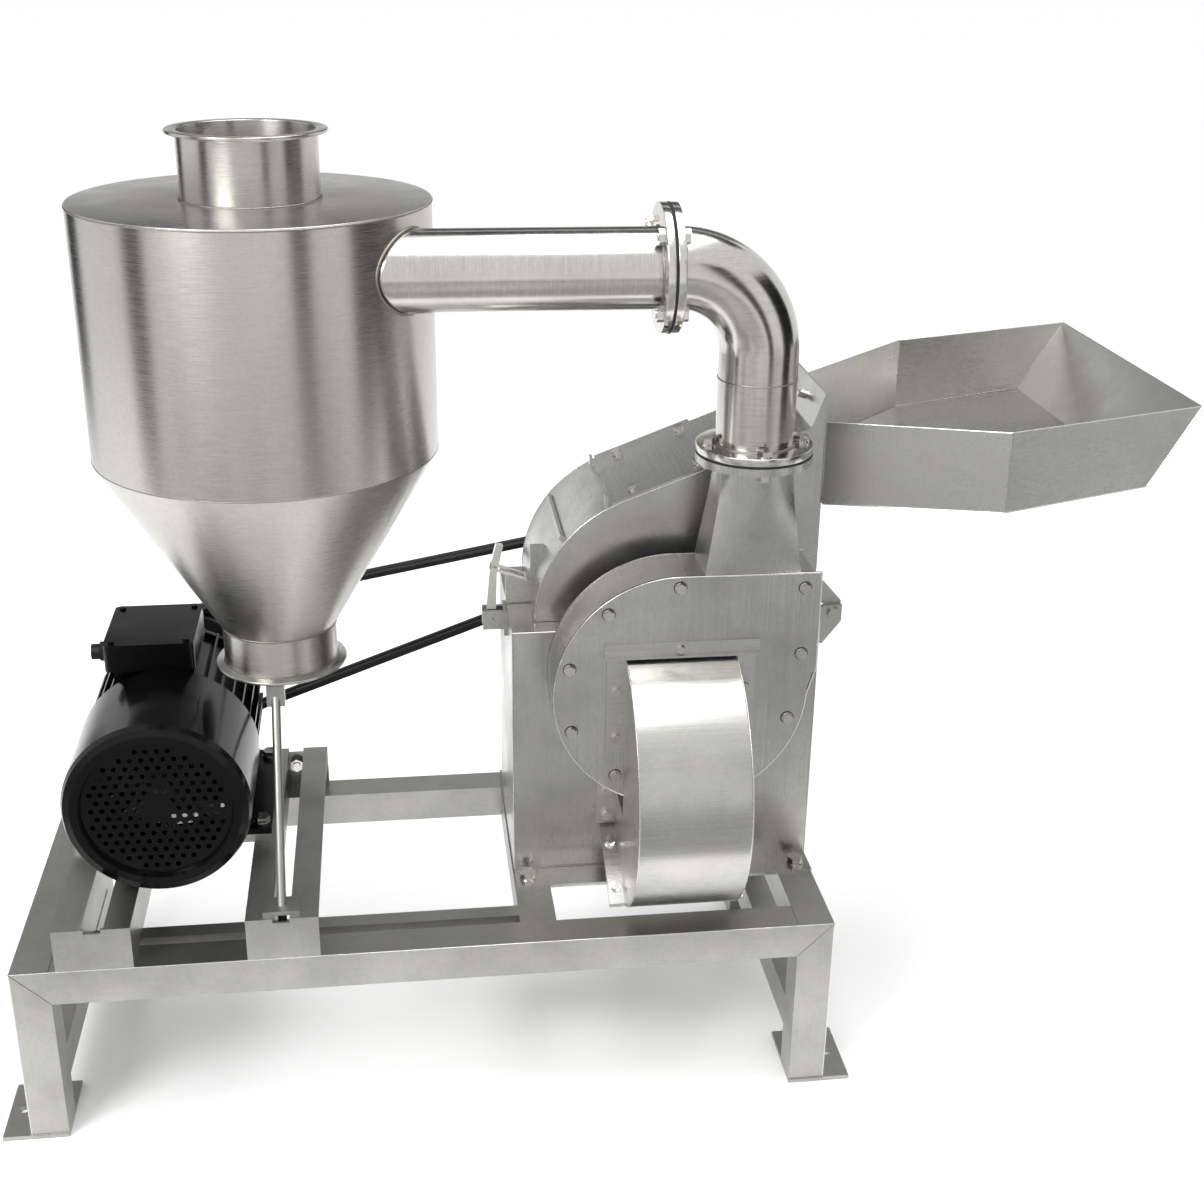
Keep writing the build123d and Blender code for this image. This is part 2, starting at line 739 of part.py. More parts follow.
def screen():
    outer = SCREEN_R + SCREEN_THICK
    body = ring_y(outer, SCREEN_R, *SCREEN_Y, MILL_X, MILL_Z)
    body -= box(0, 700, -80, 220, MILL_Z - 3, MILL_Z + 250)
    holes = []
    for i in range(13):
        angle = 192.0 + 13.0 * i
        for j in range(8):
            hole = Pos(SCREEN_R, 4.0 + 22.0 * j, 0) * Rot(0, 90, 0) * Cylinder(5, 20)
            holes.append(Pos(MILL_X, 0, MILL_Z) * Rot(0, -angle, 0) * hole)
    return body - holes


def rear_bearing_places():
    reach = 46.0
    return [(MILL_X + sx * reach, MILL_BACK + 12.0, MILL_Z - z)
            for sx in (-1, 1) for z in (18.0, 48.0)]


def rear_bearing_holes():
    return [bolt_hole(p, (0, 1, 0), 10, 20) for p in rear_bearing_places()]


def bearing_housings():
    front = ring_y(HOUSING_BEARING_R, BEARING_R, MILL_FRONT + SHEET, BEARING_WALL - SHEET,
                   MILL_X, MILL_Z)
    y0 = MILL_BACK
    rear = rod_y(HOUSING_BEARING_R, y0, y0 + 42, MILL_X, MILL_Z)
    rear += box(MILL_X - 60, MILL_X + 60, y0, y0 + 12, MILL_Z - 62, MILL_Z - 1)
    rear -= rod_y(BEARING_R, y0 + 8, y0 + 43, MILL_X, MILL_Z)
    rear -= rod_y(SHAFT_PASS_R, y0 - 1, y0 + 43, MILL_X, MILL_Z)
    rear -= box(MILL_X - 70, MILL_X + 70, y0 - 1, y0 + 1, MILL_Z, MILL_Z + 80)
    rear -= rear_bearing_holes()
    bolts = [bolt(p, (0, 1, 0), 10, 12 + SHEET) for p in rear_bearing_places()]
    return group([front, rear] + bolts)


def bearings():
    bore = SHAFT_R + RUNNING_FIT
    motor_bore = MOTOR_SHAFT_R + RUNNING_FIT
    front = ring_y(BEARING_R, bore, MILL_FRONT + SHEET + 3, BEARING_WALL - SHEET - 3,
                   MILL_X, MILL_Z)
    rear = ring_y(BEARING_R, bore, MILL_BACK + 8, MILL_BACK + 34, MILL_X, MILL_Z)
    y0, y1 = MOTOR_BODY
    b = MOTOR_BEARING_R
    motor_front = ring_y(b, motor_bore, y0 - 12, y0 + 4, MOTOR_X, MOTOR_Z)
    motor_rear = ring_y(b, motor_bore, SHIELD_BACK - 20, SHIELD_BACK - 4, MOTOR_X, MOTOR_Z)
    return group([front, rear, motor_front, motor_rear])


# ---------------------------------------------------------------- rotor

def pin_angle(index):
    return 45.0 + 90.0 * index


def pin_place(index):
    angle = radians(pin_angle(index))
    return MILL_X + PIN_CIRCLE * cos(angle), MILL_Z + PIN_CIRCLE * sin(angle)


def rotor_shaft():
    r = SHAFT_R
    e = SHAFT_END_R
    outline = [(0, -132), (e, -132), (e, -62), (r, -62), (r, 232), (e, 232),
               (e, 304), (e - 1, 305), (0, 305)]
    return lathe_y(outline, MILL_X, MILL_Z)


def rotor_discs():
    y0 = DISC_Y[0] - 14
    y1 = DISC_Y[-1] + 14
    body = rod_y(HUB_R, y0, y1, MILL_X, MILL_Z)
    for y in DISC_Y:
        body += rod_y(DISC_R, y - DISC_THICK / 2, y + DISC_THICK / 2, MILL_X, MILL_Z)
    body -= rod_y(SHAFT_R, y0 - 1, y1 + 1, MILL_X, MILL_Z)
    for index in range(4):
        x, z = pin_place(index)
        body -= rod_y(PIN_R, y0 - 1, y1 + 1, x, z)
    return body


def hammer_pins():
    half = DISC_THICK / 2
    pins = []
    for index in range(4):
        x, z = pin_place(index)
        pin = rod_y(PIN_R, DISC_Y[0] - half - 6, DISC_Y[-1] + half + 6, x, z)
        pin += rod_y(PIN_R + 3, DISC_Y[0] - half - 5, DISC_Y[0] - half, x, z)
        pin += rod_y(PIN_R + 3, DISC_Y[-1] + half, DISC_Y[-1] + half + 5, x, z)
        pins.append(pin)
    return group(pins)


def hammer(index, y):
    angle = pin_angle(index)
    inner = PIN_CIRCLE - HAMMER_TAIL
    length = HAMMER_TIP - inner
    blade = Pos(inner + length / 2, y, 0) * Box(length, HAMMER_THICK, HAMMER_WIDE)
    blade = Pos(MILL_X, 0, MILL_Z) * Rot(0, -angle, 0) * blade
    x, z = pin_place(index)
    return blade - rod_y(PIN_R + HAMMER_FIT, y - 10, y + 10, x, z)


def hammers(index):
    shift = 4.0 * (index - 1.5)
    rows = []
    for a, b in zip(DISC_Y[:-1], DISC_Y[1:]):
        middle = (a + b) / 2 + shift
        rows += [hammer(index, middle - 9.0), hammer(index, middle + 9.0)]
    return group(rows)


# ---------------------------------------------------------------- suction fan

def scroll(inset, right, top, y0, y1):
    """Volute outline moved in by an inset, as a slab from y0 to y1."""
    r = FAN_R - inset
    face = Pos(MILL_X, FAN_Z) * Circle(r)
    face += Pos(MILL_X + FAN_SHIFT, FAN_Z) * Circle(r)
    face += Polygon((MILL_X + 2 * inset, top), (right, top), (right, 612),
                    (MILL_X + FAN_SHIFT + r - 7, FAN_Z), (MILL_X, FAN_Z), align=None)
    return extrude(Plane.XZ.offset(-y0) * face, y1 - y0, dir=(0, 1, 0))


def cover_bolt_places():
    return [(x, COVER_FRONT, z) for x, z in COVER_BOLTS]


def fan_casing():
    body = scroll(3, CASE_RIGHT, FAN_TOP, COVER_BACK, MILL_FRONT)
    body -= scroll(6, CASE_RIGHT - SHEET, FAN_TOP - SHEET, COVER_BACK - 1, CASE_BACK)
    body += scroll(0, FAN_RIGHT, FAN_TOP, CASE_BACK, MILL_FRONT)
    body += [rod_y(POST_R, COVER_BACK, CASE_BACK + 1, x, z) for x, z in COVER_BOLTS]
    body -= box(OUTLET_X[0] + SHEET, OUTLET_X[1] - SHEET, COVER_BACK - 1, CASE_BACK,
                FAN_TOP - SHEET - 1, FAN_TOP + 1)
    body -= rod_y(SHAFT_PASS_R, CASE_BACK - 1, MILL_FRONT + 1, MILL_X, MILL_Z)
    return body - [bolt_hole(p, (0, -1, 0), 8, 26) for p in cover_bolt_places()]


def fan_cover():
    body = scroll(0, FAN_RIGHT, FAN_TOP, COVER_FRONT, COVER_BACK)
    body -= rod_y(EYE_R, COVER_FRONT - 1, COVER_BACK + 1, MILL_X, FAN_Z)
    body -= [bolt_hole(p, (0, -1, 0), 8, 6) for p in cover_bolt_places()]
    return body - [bolt_hole(p, (0, -1, 0), 6, 10) for p in eye_bolt_places()]


def fan_cover_bolts():
    return group([bolt(p, (0, -1, 0), 8, 24, nut=False) for p in cover_bolt_places()])


def fan_impeller():
    body = ring_y(28, SHAFT_END_R, -134, -68, MILL_X, MILL_Z)
    body += ring_y(IMPELLER_R, 20, -71, -68, MILL_X, MILL_Z)
    reach = IMPELLER_R - 24
    for i in range(BLADE_COUNT):
        blade = Pos(24 + reach / 2, -101, 0) * Box(reach, 64, 4)
        body += Pos(MILL_X, 0, MILL_Z) * Rot(0, 360.0 / BLADE_COUNT * i, 0) * blade
    return body


# ---------------------------------------------------------------- suction duct

def duct_side(inset):
    """Half-plane outline of the duct, (y, z), moved in by a wall."""
    r = DUCT_R - inset
    front = COVER_FRONT - inset if inset else COVER_FRONT
    back = MILL_FRONT - inset if inset else MILL_FRONT
    top = sqrt(r * r - (front - DUCT_Y) ** 2) + DUCT_Z
    start = atan2(top - DUCT_Z, front - DUCT_Y)
    points = []
    for i in range(33):
        angle = start + (3 * pi / 2 - start) * i / 32
        points.append((DUCT_Y + r * cos(angle), DUCT_Z + r * sin(angle)))
    points += [(back, DUCT_LOW + inset), (back, DUCT_SHELF - inset),
               (front, DUCT_SHELF - inset)]
    return points


def split_frame():
    """Unit vectors along the split line and up from it, in (y, z)."""
    dy, dz = SPLIT_B[0] - SPLIT_A[0], SPLIT_B[1] - SPLIT_A[1]
    length = sqrt(dy * dy + dz * dz)
    return (dy / length, dz / length), (dz / length, -dy / length), length


def split_point(along, up):
    u, n, length = split_frame()
    return (SPLIT_A[0] + along * u[0] + up * n[0], SPLIT_A[1] + along * u[1] + up * n[1])


def whole_duct():
    body = prism_x(duct_side(0), *DUCT_X)
    body -= prism_x(duct_side(SHEET), DUCT_X[0] + SHEET, DUCT_X[1] - SHEET)
    body -= box(DUCT_X[0] + SHEET, DUCT_X[1] - SHEET, COVER_FRONT - SHEET - 1,
                COVER_FRONT + 1, EYE_LOW, EYE_HIGH)
    body -= box(DUCT_X[0] + SHEET, DUCT_X[1] - SHEET, MILL_FRONT - SHEET - 1,
                MILL_FRONT + 1, *DISCHARGE)
    return body


def below_split():
    far = [split_point(-60, 0), split_point(200, 0), split_point(200, -200),
           split_point(-60, -200)]
    return prism_x(far, DUCT_X[0] - 60, DUCT_X[1] + 60)


def split_strips(up0, up1):
    length = split_frame()[2]
    outline = [split_point(8, up0), split_point(length, up0), split_point(length, up1),
               split_point(8, up1)]
    left = prism_x(outline, DUCT_X[0] - STRIP_WIDE, DUCT_X[0])
    return left, prism_x(outline, DUCT_X[1], DUCT_X[1] + STRIP_WIDE)


def split_bolt_places():
    u, n, length = split_frame()
    places = []
    for x in (DUCT_X[0] - STRIP_WIDE / 2, DUCT_X[1] + STRIP_WIDE / 2):
        for along in (32.0, length - 26.0):
            y, z = split_point(along, STRIP_THICK)
            places.append((x, y, z))
    return places, (0, n[0], n[1])


def strip_wall_places():
    y = MILL_FRONT - STRIP_THICK
    return [(x, y, z) for x in (DUCT_X[0] - 12, DUCT_X[1] + 12) for z in (356.0, 396.0)]


def strip_wall_holes():
    return [bolt_hole(p, (0, -1, 0), 8, STRIP_THICK + SHEET + 1) for p in strip_wall_places()]


def wall_strips():
    y0 = MILL_FRONT - STRIP_THICK
    left = box(DUCT_X[0] - 26, DUCT_X[0], y0, MILL_FRONT, 342, 411)
    right = box(DUCT_X[1], DUCT_X[1] + 26, y0, MILL_FRONT, 342, 411)
    return left, right


def suction_duct():
    body = whole_duct() - below_split()
    body += [*wall_strips(), *split_strips(0, STRIP_THICK)]
    places, out = split_bolt_places()
    body -= [bolt_hole(p, out, 8, 2 * STRIP_THICK + 1) for p in places]
    return body - strip_wall_holes()


def discharge_spout():
    body = whole_duct() & below_split()
    body += [*split_strips(-STRIP_THICK, 0)]
    places, out = split_bolt_places()
    return body - [bolt_hole(p, out, 8, 2 * STRIP_THICK + 1) for p in places]


def eye_bolt_places():
    y = COVER_FRONT - STRIP_THICK
    return [(MILL_X, y, 650.0), (253.0, y, 592.0), (427.0, y, 592.0), (253.0, y, 524.0),
            (427.0, y, 524.0)]


def eye_frame():
    y0 = COVER_FRONT - STRIP_THICK
    bar = box(237, 445, y0, COVER_FRONT, 640, 660)
    bar += box(237, 445, y0 - 7, y0, 640, 643)
    bar += box(240, DUCT_X[0], y0, COVER_FRONT, 500, 640)
    bar += box(DUCT_X[1], 440, y0, COVER_FRONT, 500, 640)
    return bar - [bolt_hole(p, (0, -1, 0), 6, 7) for p in eye_bolt_places()]


def duct_bolts():
    places, out = split_bolt_places()
    bolts = [bolt(p, out, 8, 2 * STRIP_THICK) for p in places]
    bolts += [bolt(p, (0, -1, 0), 8, STRIP_THICK + SHEET) for p in strip_wall_places()]
    grip = STRIP_THICK + COVER_BACK - COVER_FRONT
    bolts += [bolt(p, (0, -1, 0), 6, grip, nut=False) for p in eye_bolt_places()]
    return group(bolts)


# ---------------------------------------------------------------- outlet and cyclone

def outlet_solid(inset):
    wide = OUTLET_X[1] - OUTLET_X[0] - 2 * inset
    deep = OUTLET_Y[1] - OUTLET_Y[0] - 2 * inset
    cx = sum(OUTLET_X) / 2
    cy = sum(OUTLET_Y) / 2
    low = Pos(cx, cy, FAN_TOP) * Rectangle(wide, deep)
    high = Pos(PIPE_X, PIPE_Y, FLANGE_Z + 1) * Circle(PIPE_R - inset)
    return loft([low, high], ruled=True)


def low_bolt_places():
    top = FLANGE_Z + 2 * FLANGE_THICK + GASKET
    return [(PIPE_X + LOW_BOLT_R * cos(a), PIPE_Y + LOW_BOLT_R * sin(a), top)
            for a in (0, pi / 2, pi, 3 * pi / 2)]


def low_holes():
    return [bolt_hole(p, (0, 0, 1), 10, 2 * FLANGE_THICK + GASKET + 1)
            for p in low_bolt_places()]


def outlet_transition():
    z0 = FLANGE_Z
    body = outlet_solid(0)
    body += rod_z(LOW_FLANGE_R, z0, z0 + FLANGE_THICK, PIPE_X, PIPE_Y)
    body -= outlet_solid(SHEET)
    body -= rod_z(PIPE_R - SHEET, z0 + 1, z0 + FLANGE_THICK + 1, PIPE_X, PIPE_Y)
    return body - low_holes()


def top_bolt_places():
    x = TOP_FLANGE_X + 2 * FLANGE_THICK + GASKET
    return [(x, PIPE_Y + TOP_BOLT_R * cos(a), PIPE_Z + TOP_BOLT_R * sin(a))
            for a in (pi / 4, 3 * pi / 4, 5 * pi / 4, 7 * pi / 4)]


def top_holes():
    return [bolt_hole(p, (1, 0, 0), 10, 2 * FLANGE_THICK + GASKET + 1)
            for p in top_bolt_places()]


def flange_gaskets():
    z0 = FLANGE_Z + FLANGE_THICK
    low = ring_z(LOW_FLANGE_R, PIPE_R - PIPE_WALL, z0, z0 + GASKET, PIPE_X, PIPE_Y)
    x0 = TOP_FLANGE_X + FLANGE_THICK
    top = rod_x(TOP_FLANGE_R, x0, x0 + GASKET, PIPE_Y, PIPE_Z)
    top -= rod_x(PIPE_R - PIPE_WALL, x0 - 1, x0 + GASKET + 1, PIPE_Y, PIPE_Z)
    return group([low - low_holes(), top - top_holes()])


def bend(r):
    """Quarter bend from upright to level, turned about a line along Y."""
    centre_x = PIPE_X - BEND_R
    centre_z = PIPE_Z - BEND_R
    face = Pos(BEND_R, 0, 0) * Circle(r)
    quarter = revolve(face, Axis.Y, 90)
    if quarter.bounding_box().max.Z < 1.0:
        quarter = Rot(0, -90, 0) * quarter
    return Pos(centre_x, PIPE_Y, centre_z) * quarter


def elbow():
    z0 = FLANGE_Z + FLANGE_THICK + GASKET
    x0 = TOP_FLANGE_X + FLANGE_THICK + GASKET
    turn_z = PIPE_Z - BEND_R
    bore = PIPE_R - PIPE_WALL
    body = bend(PIPE_R) - bend(bore)
    body += ring_z(PIPE_R, bore, z0, turn_z, PIPE_X, PIPE_Y)
    body += rod_x(PIPE_R, x0, PIPE_X - BEND_R, PIPE_Y, PIPE_Z) - rod_x(
        bore, x0 - 1, PIPE_X, PIPE_Y, PIPE_Z)
    body += ring_z(LOW_FLANGE_R, bore, z0, z0 + FLANGE_THICK, PIPE_X, PIPE_Y)
    body += rod_x(TOP_FLANGE_R, x0, x0 + FLANGE_THICK, PIPE_Y, PIPE_Z) - rod_x(
        bore, x0 - 1, PIPE_X, PIPE_Y, PIPE_Z)
    return body - low_holes() - top_holes()


def inlet_pipe():
    x1 = TOP_FLANGE_X + FLANGE_THICK
    body = rod_x(PIPE_R, -100, x1, PIPE_Y, PIPE_Z)
    body += rod_x(TOP_FLANGE_R, TOP_FLANGE_X, x1, PIPE_Y, PIPE_Z)
    body -= rod_x(PIPE_R - PIPE_WALL, -101, x1 + 1, PIPE_Y, PIPE_Z)
    body -= rod_z(CYCLONE_R, 1000, 1300, CYCLONE_X, CYCLONE_Y)
    return body - top_holes()


def flange_bolts():
    grip = 2 * FLANGE_THICK + GASKET
    bolts = [bolt(p, (0, 0, 1), 10, grip) for p in low_bolt_places()]
    return group(bolts + [bolt(p, (1, 0, 0), 10, grip) for p in top_bolt_places()])


def cyclone_body():
    r = CYCLONE_R
    w = CYCLONE_WALL
    top = CYCLONE_TOP - LID
    outline = [(r, top), (r, CONE_TOP), (CONE_R, CONE_LOW), (CONE_R - w, CONE_LOW),
               (r - w, CONE_TOP + 0.5), (r - w, top)]
    body = lathe_z(outline, CYCLONE_X, CYCLONE_Y)
    return body - rod_x(PIPE_R - PIPE_WALL, -100, 60, PIPE_Y, PIPE_Z)


def cyclone_lid():
    return ring_z(CYCLONE_R, NECK_R, CYCLONE_TOP - LID, CYCLONE_TOP, CYCLONE_X, CYCLONE_Y)


def cyclone_neck():
    r = NECK_R
    w = CYCLONE_WALL
    outline = [(r - w, NECK_LOW), (r, NECK_LOW), (r, NECK_TOP - 6), (NECK_FERRULE_R, NECK_TOP - 4),
               (NECK_FERRULE_R, NECK_TOP), (r - w, NECK_TOP)]
    return lathe_z(outline, CYCLONE_X, CYCLONE_Y)


def discharge_collar():
    r = CONE_R
    w = CYCLONE_WALL
    outline = [(r - w, CONE_LOW), (r, CONE_LOW), (r, COLLAR_LOW + 6), (FERRULE_R, COLLAR_LOW + 4),
               (FERRULE_R, COLLAR_LOW), (r - w, COLLAR_LOW)]
    return lathe_z(outline, CYCLONE_X, CYCLONE_Y)


def support_rod():
    """Leaning strut from the collar down to a clamp at the front end of the rail's slot."""
    foot_y = -STAND_DEPTH / 2 + 26.0
    z0 = RAIL_TOP + 3
    z1 = COLLAR_LOW - 15
    across = ROD_Y - foot_y
    up = z1 - z0
    lean = degrees(atan2(across, up))
    rod = Cylinder(ROD_R, sqrt(across * across + up * up))
    body = Pos(ROD_X, (ROD_Y + foot_y) / 2, (z0 + z1) / 2) * Rot(-lean, 0, 0) * rod
    body += box(ROD_X - 12, ROD_X + 12, ROD_Y - 7, ROD_Y + 7, COLLAR_LOW - 30, COLLAR_LOW)
    body += box(ROD_X - 24, ROD_X + 24, foot_y - 18, foot_y + 18, RAIL_TOP, RAIL_TOP + 6)
    return body + rod_z(ROD_R, RAIL_TOP - 22, z0, ROD_X, foot_y)


# ---------------------------------------------------------------- hood

def slope_z(x, inset=0.0):
    """Height of the sloping hood sheet, moved in by an inset, above a given x."""
    r = HOOD_R - inset
    a = radians(HOOD_SLOPE)
    foot_x = MILL_X - r * sin(a)
    foot_z = MILL_Z + r * cos(a)
    return foot_z + (x - foot_x) * tan(a)


def gate_line_x(z, inset=0.0):
    """Position of the steep sheet above the feed throat at a given height."""
    z0 = slope_z(GATE_FOOT_X)
    lean = (MILL_RIGHT - SHEET - GATE_FOOT_X) / (THROAT_TOP - z0)
    return GATE_FOOT_X + (z - z0) * lean + inset * sqrt(1 + lean * lean)


def hood_solid(inset, y0, y1):
    r = HOOD_R - inset
    a = radians(HOOD_SLOPE)
    tangent = (MILL_X - r * sin(a), MILL_Z + r * cos(a))
    low = HOOD_LOW if inset == 0 else HOOD_LOW - 2
    right = MILL_RIGHT - inset
    if inset == 0:
        head = [(right, THROAT_TOP), (right - SHEET, THROAT_TOP),
                (GATE_FOOT_X, slope_z(GATE_FOOT_X))]
    else:
        z = slope_z(GATE_FOOT_X)
        while gate_line_x(z, inset) < right:
            z += 0.25
        knee = GATE_FOOT_X + inset
        head = [(right, z), (gate_line_x(slope_z(knee, inset), inset), slope_z(knee, inset))]
    outline = [(MILL_X, low), (right, low), *head, tangent, (MILL_X, MILL_Z)]
    if inset:
        outline = [(MILL_X - 60, low), (right, low), *head, tangent]
    dome = rod_y(r, y0, y1, MILL_X, MILL_Z)
    dome -= box(0, 700, y0 - 1, y1 + 1, 300, low)
    return dome + prism_y(outline, y0, y1)


def ear(y0):
    outline = [
        (MILL_RIGHT - 1, 652), (MILL_RIGHT - 1, 688), (560, 688), (592, 652), (592, 624),
        (569, 624), (569, 648),
    ]
    body = prism_y(outline, y0, y0 + LUG_THICK)
    return body - rod_y(HINGE_PIN_R + HINGE_FIT, y0 - 1, y0 + LUG_THICK + 1, HINGE_X, HINGE_Z)


def keeper():
    outline = [(121, HOOD_LOW + 1.5), (160, HOOD_LOW + 1.5), (176, 728), (156, 728), (156, 678),
               (144, 678), (130, 686), (121, 687)]
    return prism_y(outline, LATCH_Y - 3, LATCH_Y + 3)


def on_slope(along, up):
    """Point a distance along and above the sloping hood sheet, (x, z)."""
    a = radians(HOOD_SLOPE)
    x0 = MILL_X - HOOD_R * sin(a)
    z0 = MILL_Z + HOOD_R * cos(a)
    return (x0 + along * cos(a) - up * sin(a), z0 + along * sin(a) + up * cos(a))


def slope_normal():
    a = radians(HOOD_SLOPE)
    return (-sin(a), 0, cos(a))


def plate_bolt_places():
    places = []
    for along in (22.0, 118.0):
        x, z = on_slope(along, PLATE_THICK)
        places += [(x, 0.0, z), (x, 156.0, z)]
    return places


def gate_bolt_places():
    z = 934.0
    x = gate_line_x(z)
    return [(x, 60.0, z), (x, 135.0, z)]


def gate_normal():
    z0 = slope_z(GATE_FOOT_X)
    lean = (MILL_RIGHT - SHEET - GATE_FOOT_X) / (THROAT_TOP - z0)
    n = sqrt(1 + lean * lean)
    return (-1 / n, 0, lean / n)


def hood_bolt_holes():
    normal = slope_normal()
    holes = [bolt_hole(p, normal, 8, PLATE_THICK + SHEET + 1) for p in plate_bolt_places()]
    holes.append(bolt_hole((515.0, HOOD_FRONT, 865.0), (0, -1, 0), 8, SHEET + 1))
    return holes + [bolt_hole(p, gate_normal(), 6, SHEET + 2) for p in gate_bolt_places()]


def tabs_and_bar():
    x, z = on_slope(-20.0, 0.0)
    pieces = []
    for y in (-14.0, 160.0):
        pieces.append(box(x - 2, x + 2, y - 7, y + 7, z - 12, z + 16))
    angle = radians(141.0)
    cx = MILL_X + (HOOD_R + 2) * cos(angle)
    cz = MILL_Z + (HOOD_R + 2) * sin(angle)
    pieces.append(rod_y(4, -8, 168, cx, cz))
    return pieces


def gate_guides():
    """Channels each side of the gate, inside the throat wall."""
    wall = MILL_RIGHT - SHEET
    inner = wall - 1.0 - GATE_THICK - GATE_FIT
    pieces = []
    for s in (-1, 1):
        edge = GATE_HALF + GATE_FIT
        a, b = sorted((TRAY_Y + s * edge, TRAY_Y + s * (edge + 4)))
        pieces.append(box(inner - 2, wall + 0.5, a, b, FEED_LOW - 8, FEED_HIGH + 30))
        a, b = sorted((TRAY_Y + s * (edge - 7), TRAY_Y + s * (edge + 4)))
        pieces.append(box(inner - 2, inner, a, b, FEED_LOW - 8, FEED_HIGH + 30))
    return pieces


def hood():
    y0, y1 = HOOD_FRONT, MILL_BACK
    body = hood_solid(0, y0, y1) - hood_solid(SHEET, y0 + SHEET, y1 - SHEET)
    body += [ear(y0) for y0 in ear_starts()]
    body += keeper() - rod_y(HOOD_R - 1, 0, 100, MILL_X, MILL_Z)
    cut = hood_solid(SHEET, HOOD_FRONT + SHEET, MILL_BACK - SHEET)
    body += [piece - cut for piece in tabs_and_bar()]
    body += gate_guides()
    body -= box(MILL_RIGHT - SHEET - 1, MILL_RIGHT + 1, TRAY_Y - FEED_HALF, TRAY_Y + FEED_HALF,
                FEED_LOW, FEED_HIGH)
    body -= rod_y(SHAFT_PASS_R, HOOD_FRONT - 1, MILL_BACK + 1, MILL_X, MILL_Z)
    return body - hood_bolt_holes()


def ear_starts():
    return (LUG_Y[0] + LUG_THICK + SIDE_GAP, LUG_Y[1] - LUG_THICK - SIDE_GAP)


def hood_cover_plate():
    outline = [on_slope(-10, 0), on_slope(137, 0), on_slope(137, PLATE_THICK),
               on_slope(-10, PLATE_THICK)]
    plate = prism_y(outline, HOOD_FRONT, MILL_BACK)
    return plate - [bolt_hole(p, slope_normal(), 8, 8) for p in plate_bolt_places()]


def wing_bolt(at, out):
    body = bolt(at, out, 6, SHEET, nut=False)
    bar = Pos(0, 0, WASHER + 9) * Box(6, 34, 6) + Pos(0, 0, WASHER + 5) * Cylinder(4, 10)
    return body + Plane(origin=at, z_dir=out).location * bar


def hood_bolts():
    grip = PLATE_THICK + SHEET
    bolts = [bolt(p, slope_normal(), 8, grip) for p in plate_bolt_places()]
    bolts.append(bolt((515.0, HOOD_FRONT, 865.0), (0, -1, 0), 8, SHEET))
    wing, plain = gate_bolt_places()
    bolts.append(wing_bolt(wing, gate_normal()))
    bolts.append(bolt(plain, gate_normal(), 6, SHEET, nut=False))
    return group(bolts)


# ---------------------------------------------------------------- feed tray and gate

def tray_solid(inset):
    w = inset
    plan = [(u + MILL_RIGHT, TRAY_Y + half - w) for u, half in TRAY_PLAN]
    plan += [(u + MILL_RIGHT, TRAY_Y - half + w) for u, half in reversed(TRAY_PLAN)]
    side = [(u + MILL_RIGHT, z) for u, z in TRAY_SIDE]
    if w:
        side = [(MILL_RIGHT - 5, side[0][1] + w), (side[1][0] - w, side[1][1] + w),
                (side[2][0] - w, side[2][1] + 1), (side[2][0] - w, 1100),
                (MILL_RIGHT - 5, 1100)]
        plan = [(MILL_RIGHT - 5, plan[0][1]), *plan, (MILL_RIGHT - 5, plan[-1][1])]
    return prism_y(side, -400, 500) & prism_z(plan, 700, 1150)


def feed_tray():
    return tray_solid(0.0) - tray_solid(TRAY_WALL)


def feed_gate():
    x1 = MILL_RIGHT - SHEET - 1.0
    plate = box(x1 - GATE_THICK, x1, TRAY_Y - GATE_HALF, TRAY_Y + GATE_HALF,
                FEED_HIGH, FEED_HIGH + GATE_HIGH)
    return plate


# ---------------------------------------------------------------- latch

def latch_bracket():
    px, pz = LATCH_PIVOT
    wall = MILL_LEFT
    body = box(wall - 5, wall, LATCH_Y - 22, LATCH_Y + 22, 600, 636)
    for s in (-1, 1):
        y0, y1 = sorted((LATCH_Y + s * 8, LATCH_Y + s * 14))
        body += box(88, wall - 4, y0, y1, 607, 634)
    pin = rod_y(LATCH_PIN_R, LATCH_Y - 17, LATCH_Y + 17, px, pz)
    body -= rod_y(LATCH_PIN_R, LATCH_Y - 30, LATCH_Y + 30, px, pz)
    return group([body, pin])


def latch_lever():
    px, pz = LATCH_PIVOT
    outline = [(px - 7, pz - 8), (px + 7, pz - 8), (px + 7, pz + 10), (109, 690), (118, 729),
               (108, 731), (99, 694), (px - 7, pz + 10)]
    body = prism_y(outline, LATCH_Y - 6, LATCH_Y + 6)
    body -= rod_y(LATCH_PIN_R + LATCH_FIT, LATCH_Y - 9, LATCH_Y + 9, px, pz)
    return body - rod_y(WIRE_R + LATCH_FIT, LATCH_Y - 9, LATCH_Y + 9, *BAIL_PIVOT)


def latch_bail():
    x0, z0 = BAIL_PIVOT
    x1, z1 = BAIL_BAR
    side = 10.0
    reach = sqrt((x1 - x0) ** 2 + (z1 - z0) ** 2)
    angle = degrees(atan2(z1 - z0, x1 - x0))
    wires = rod_y(WIRE_R, LATCH_Y - side - WIRE_R, LATCH_Y + side + WIRE_R, x0, z0)
    wires += rod_y(WIRE_R, LATCH_Y - side - WIRE_R, LATCH_Y + side + WIRE_R, x1, z1)
    for s in (-1, 1):
        arm = Pos(reach / 2, s * side, 0) * Rot(0, 90, 0) * Cylinder(WIRE_R - 0.2, reach)
        wires += Pos(x0, LATCH_Y, z0) * Rot(0, -angle, 0) * arm
    return wires


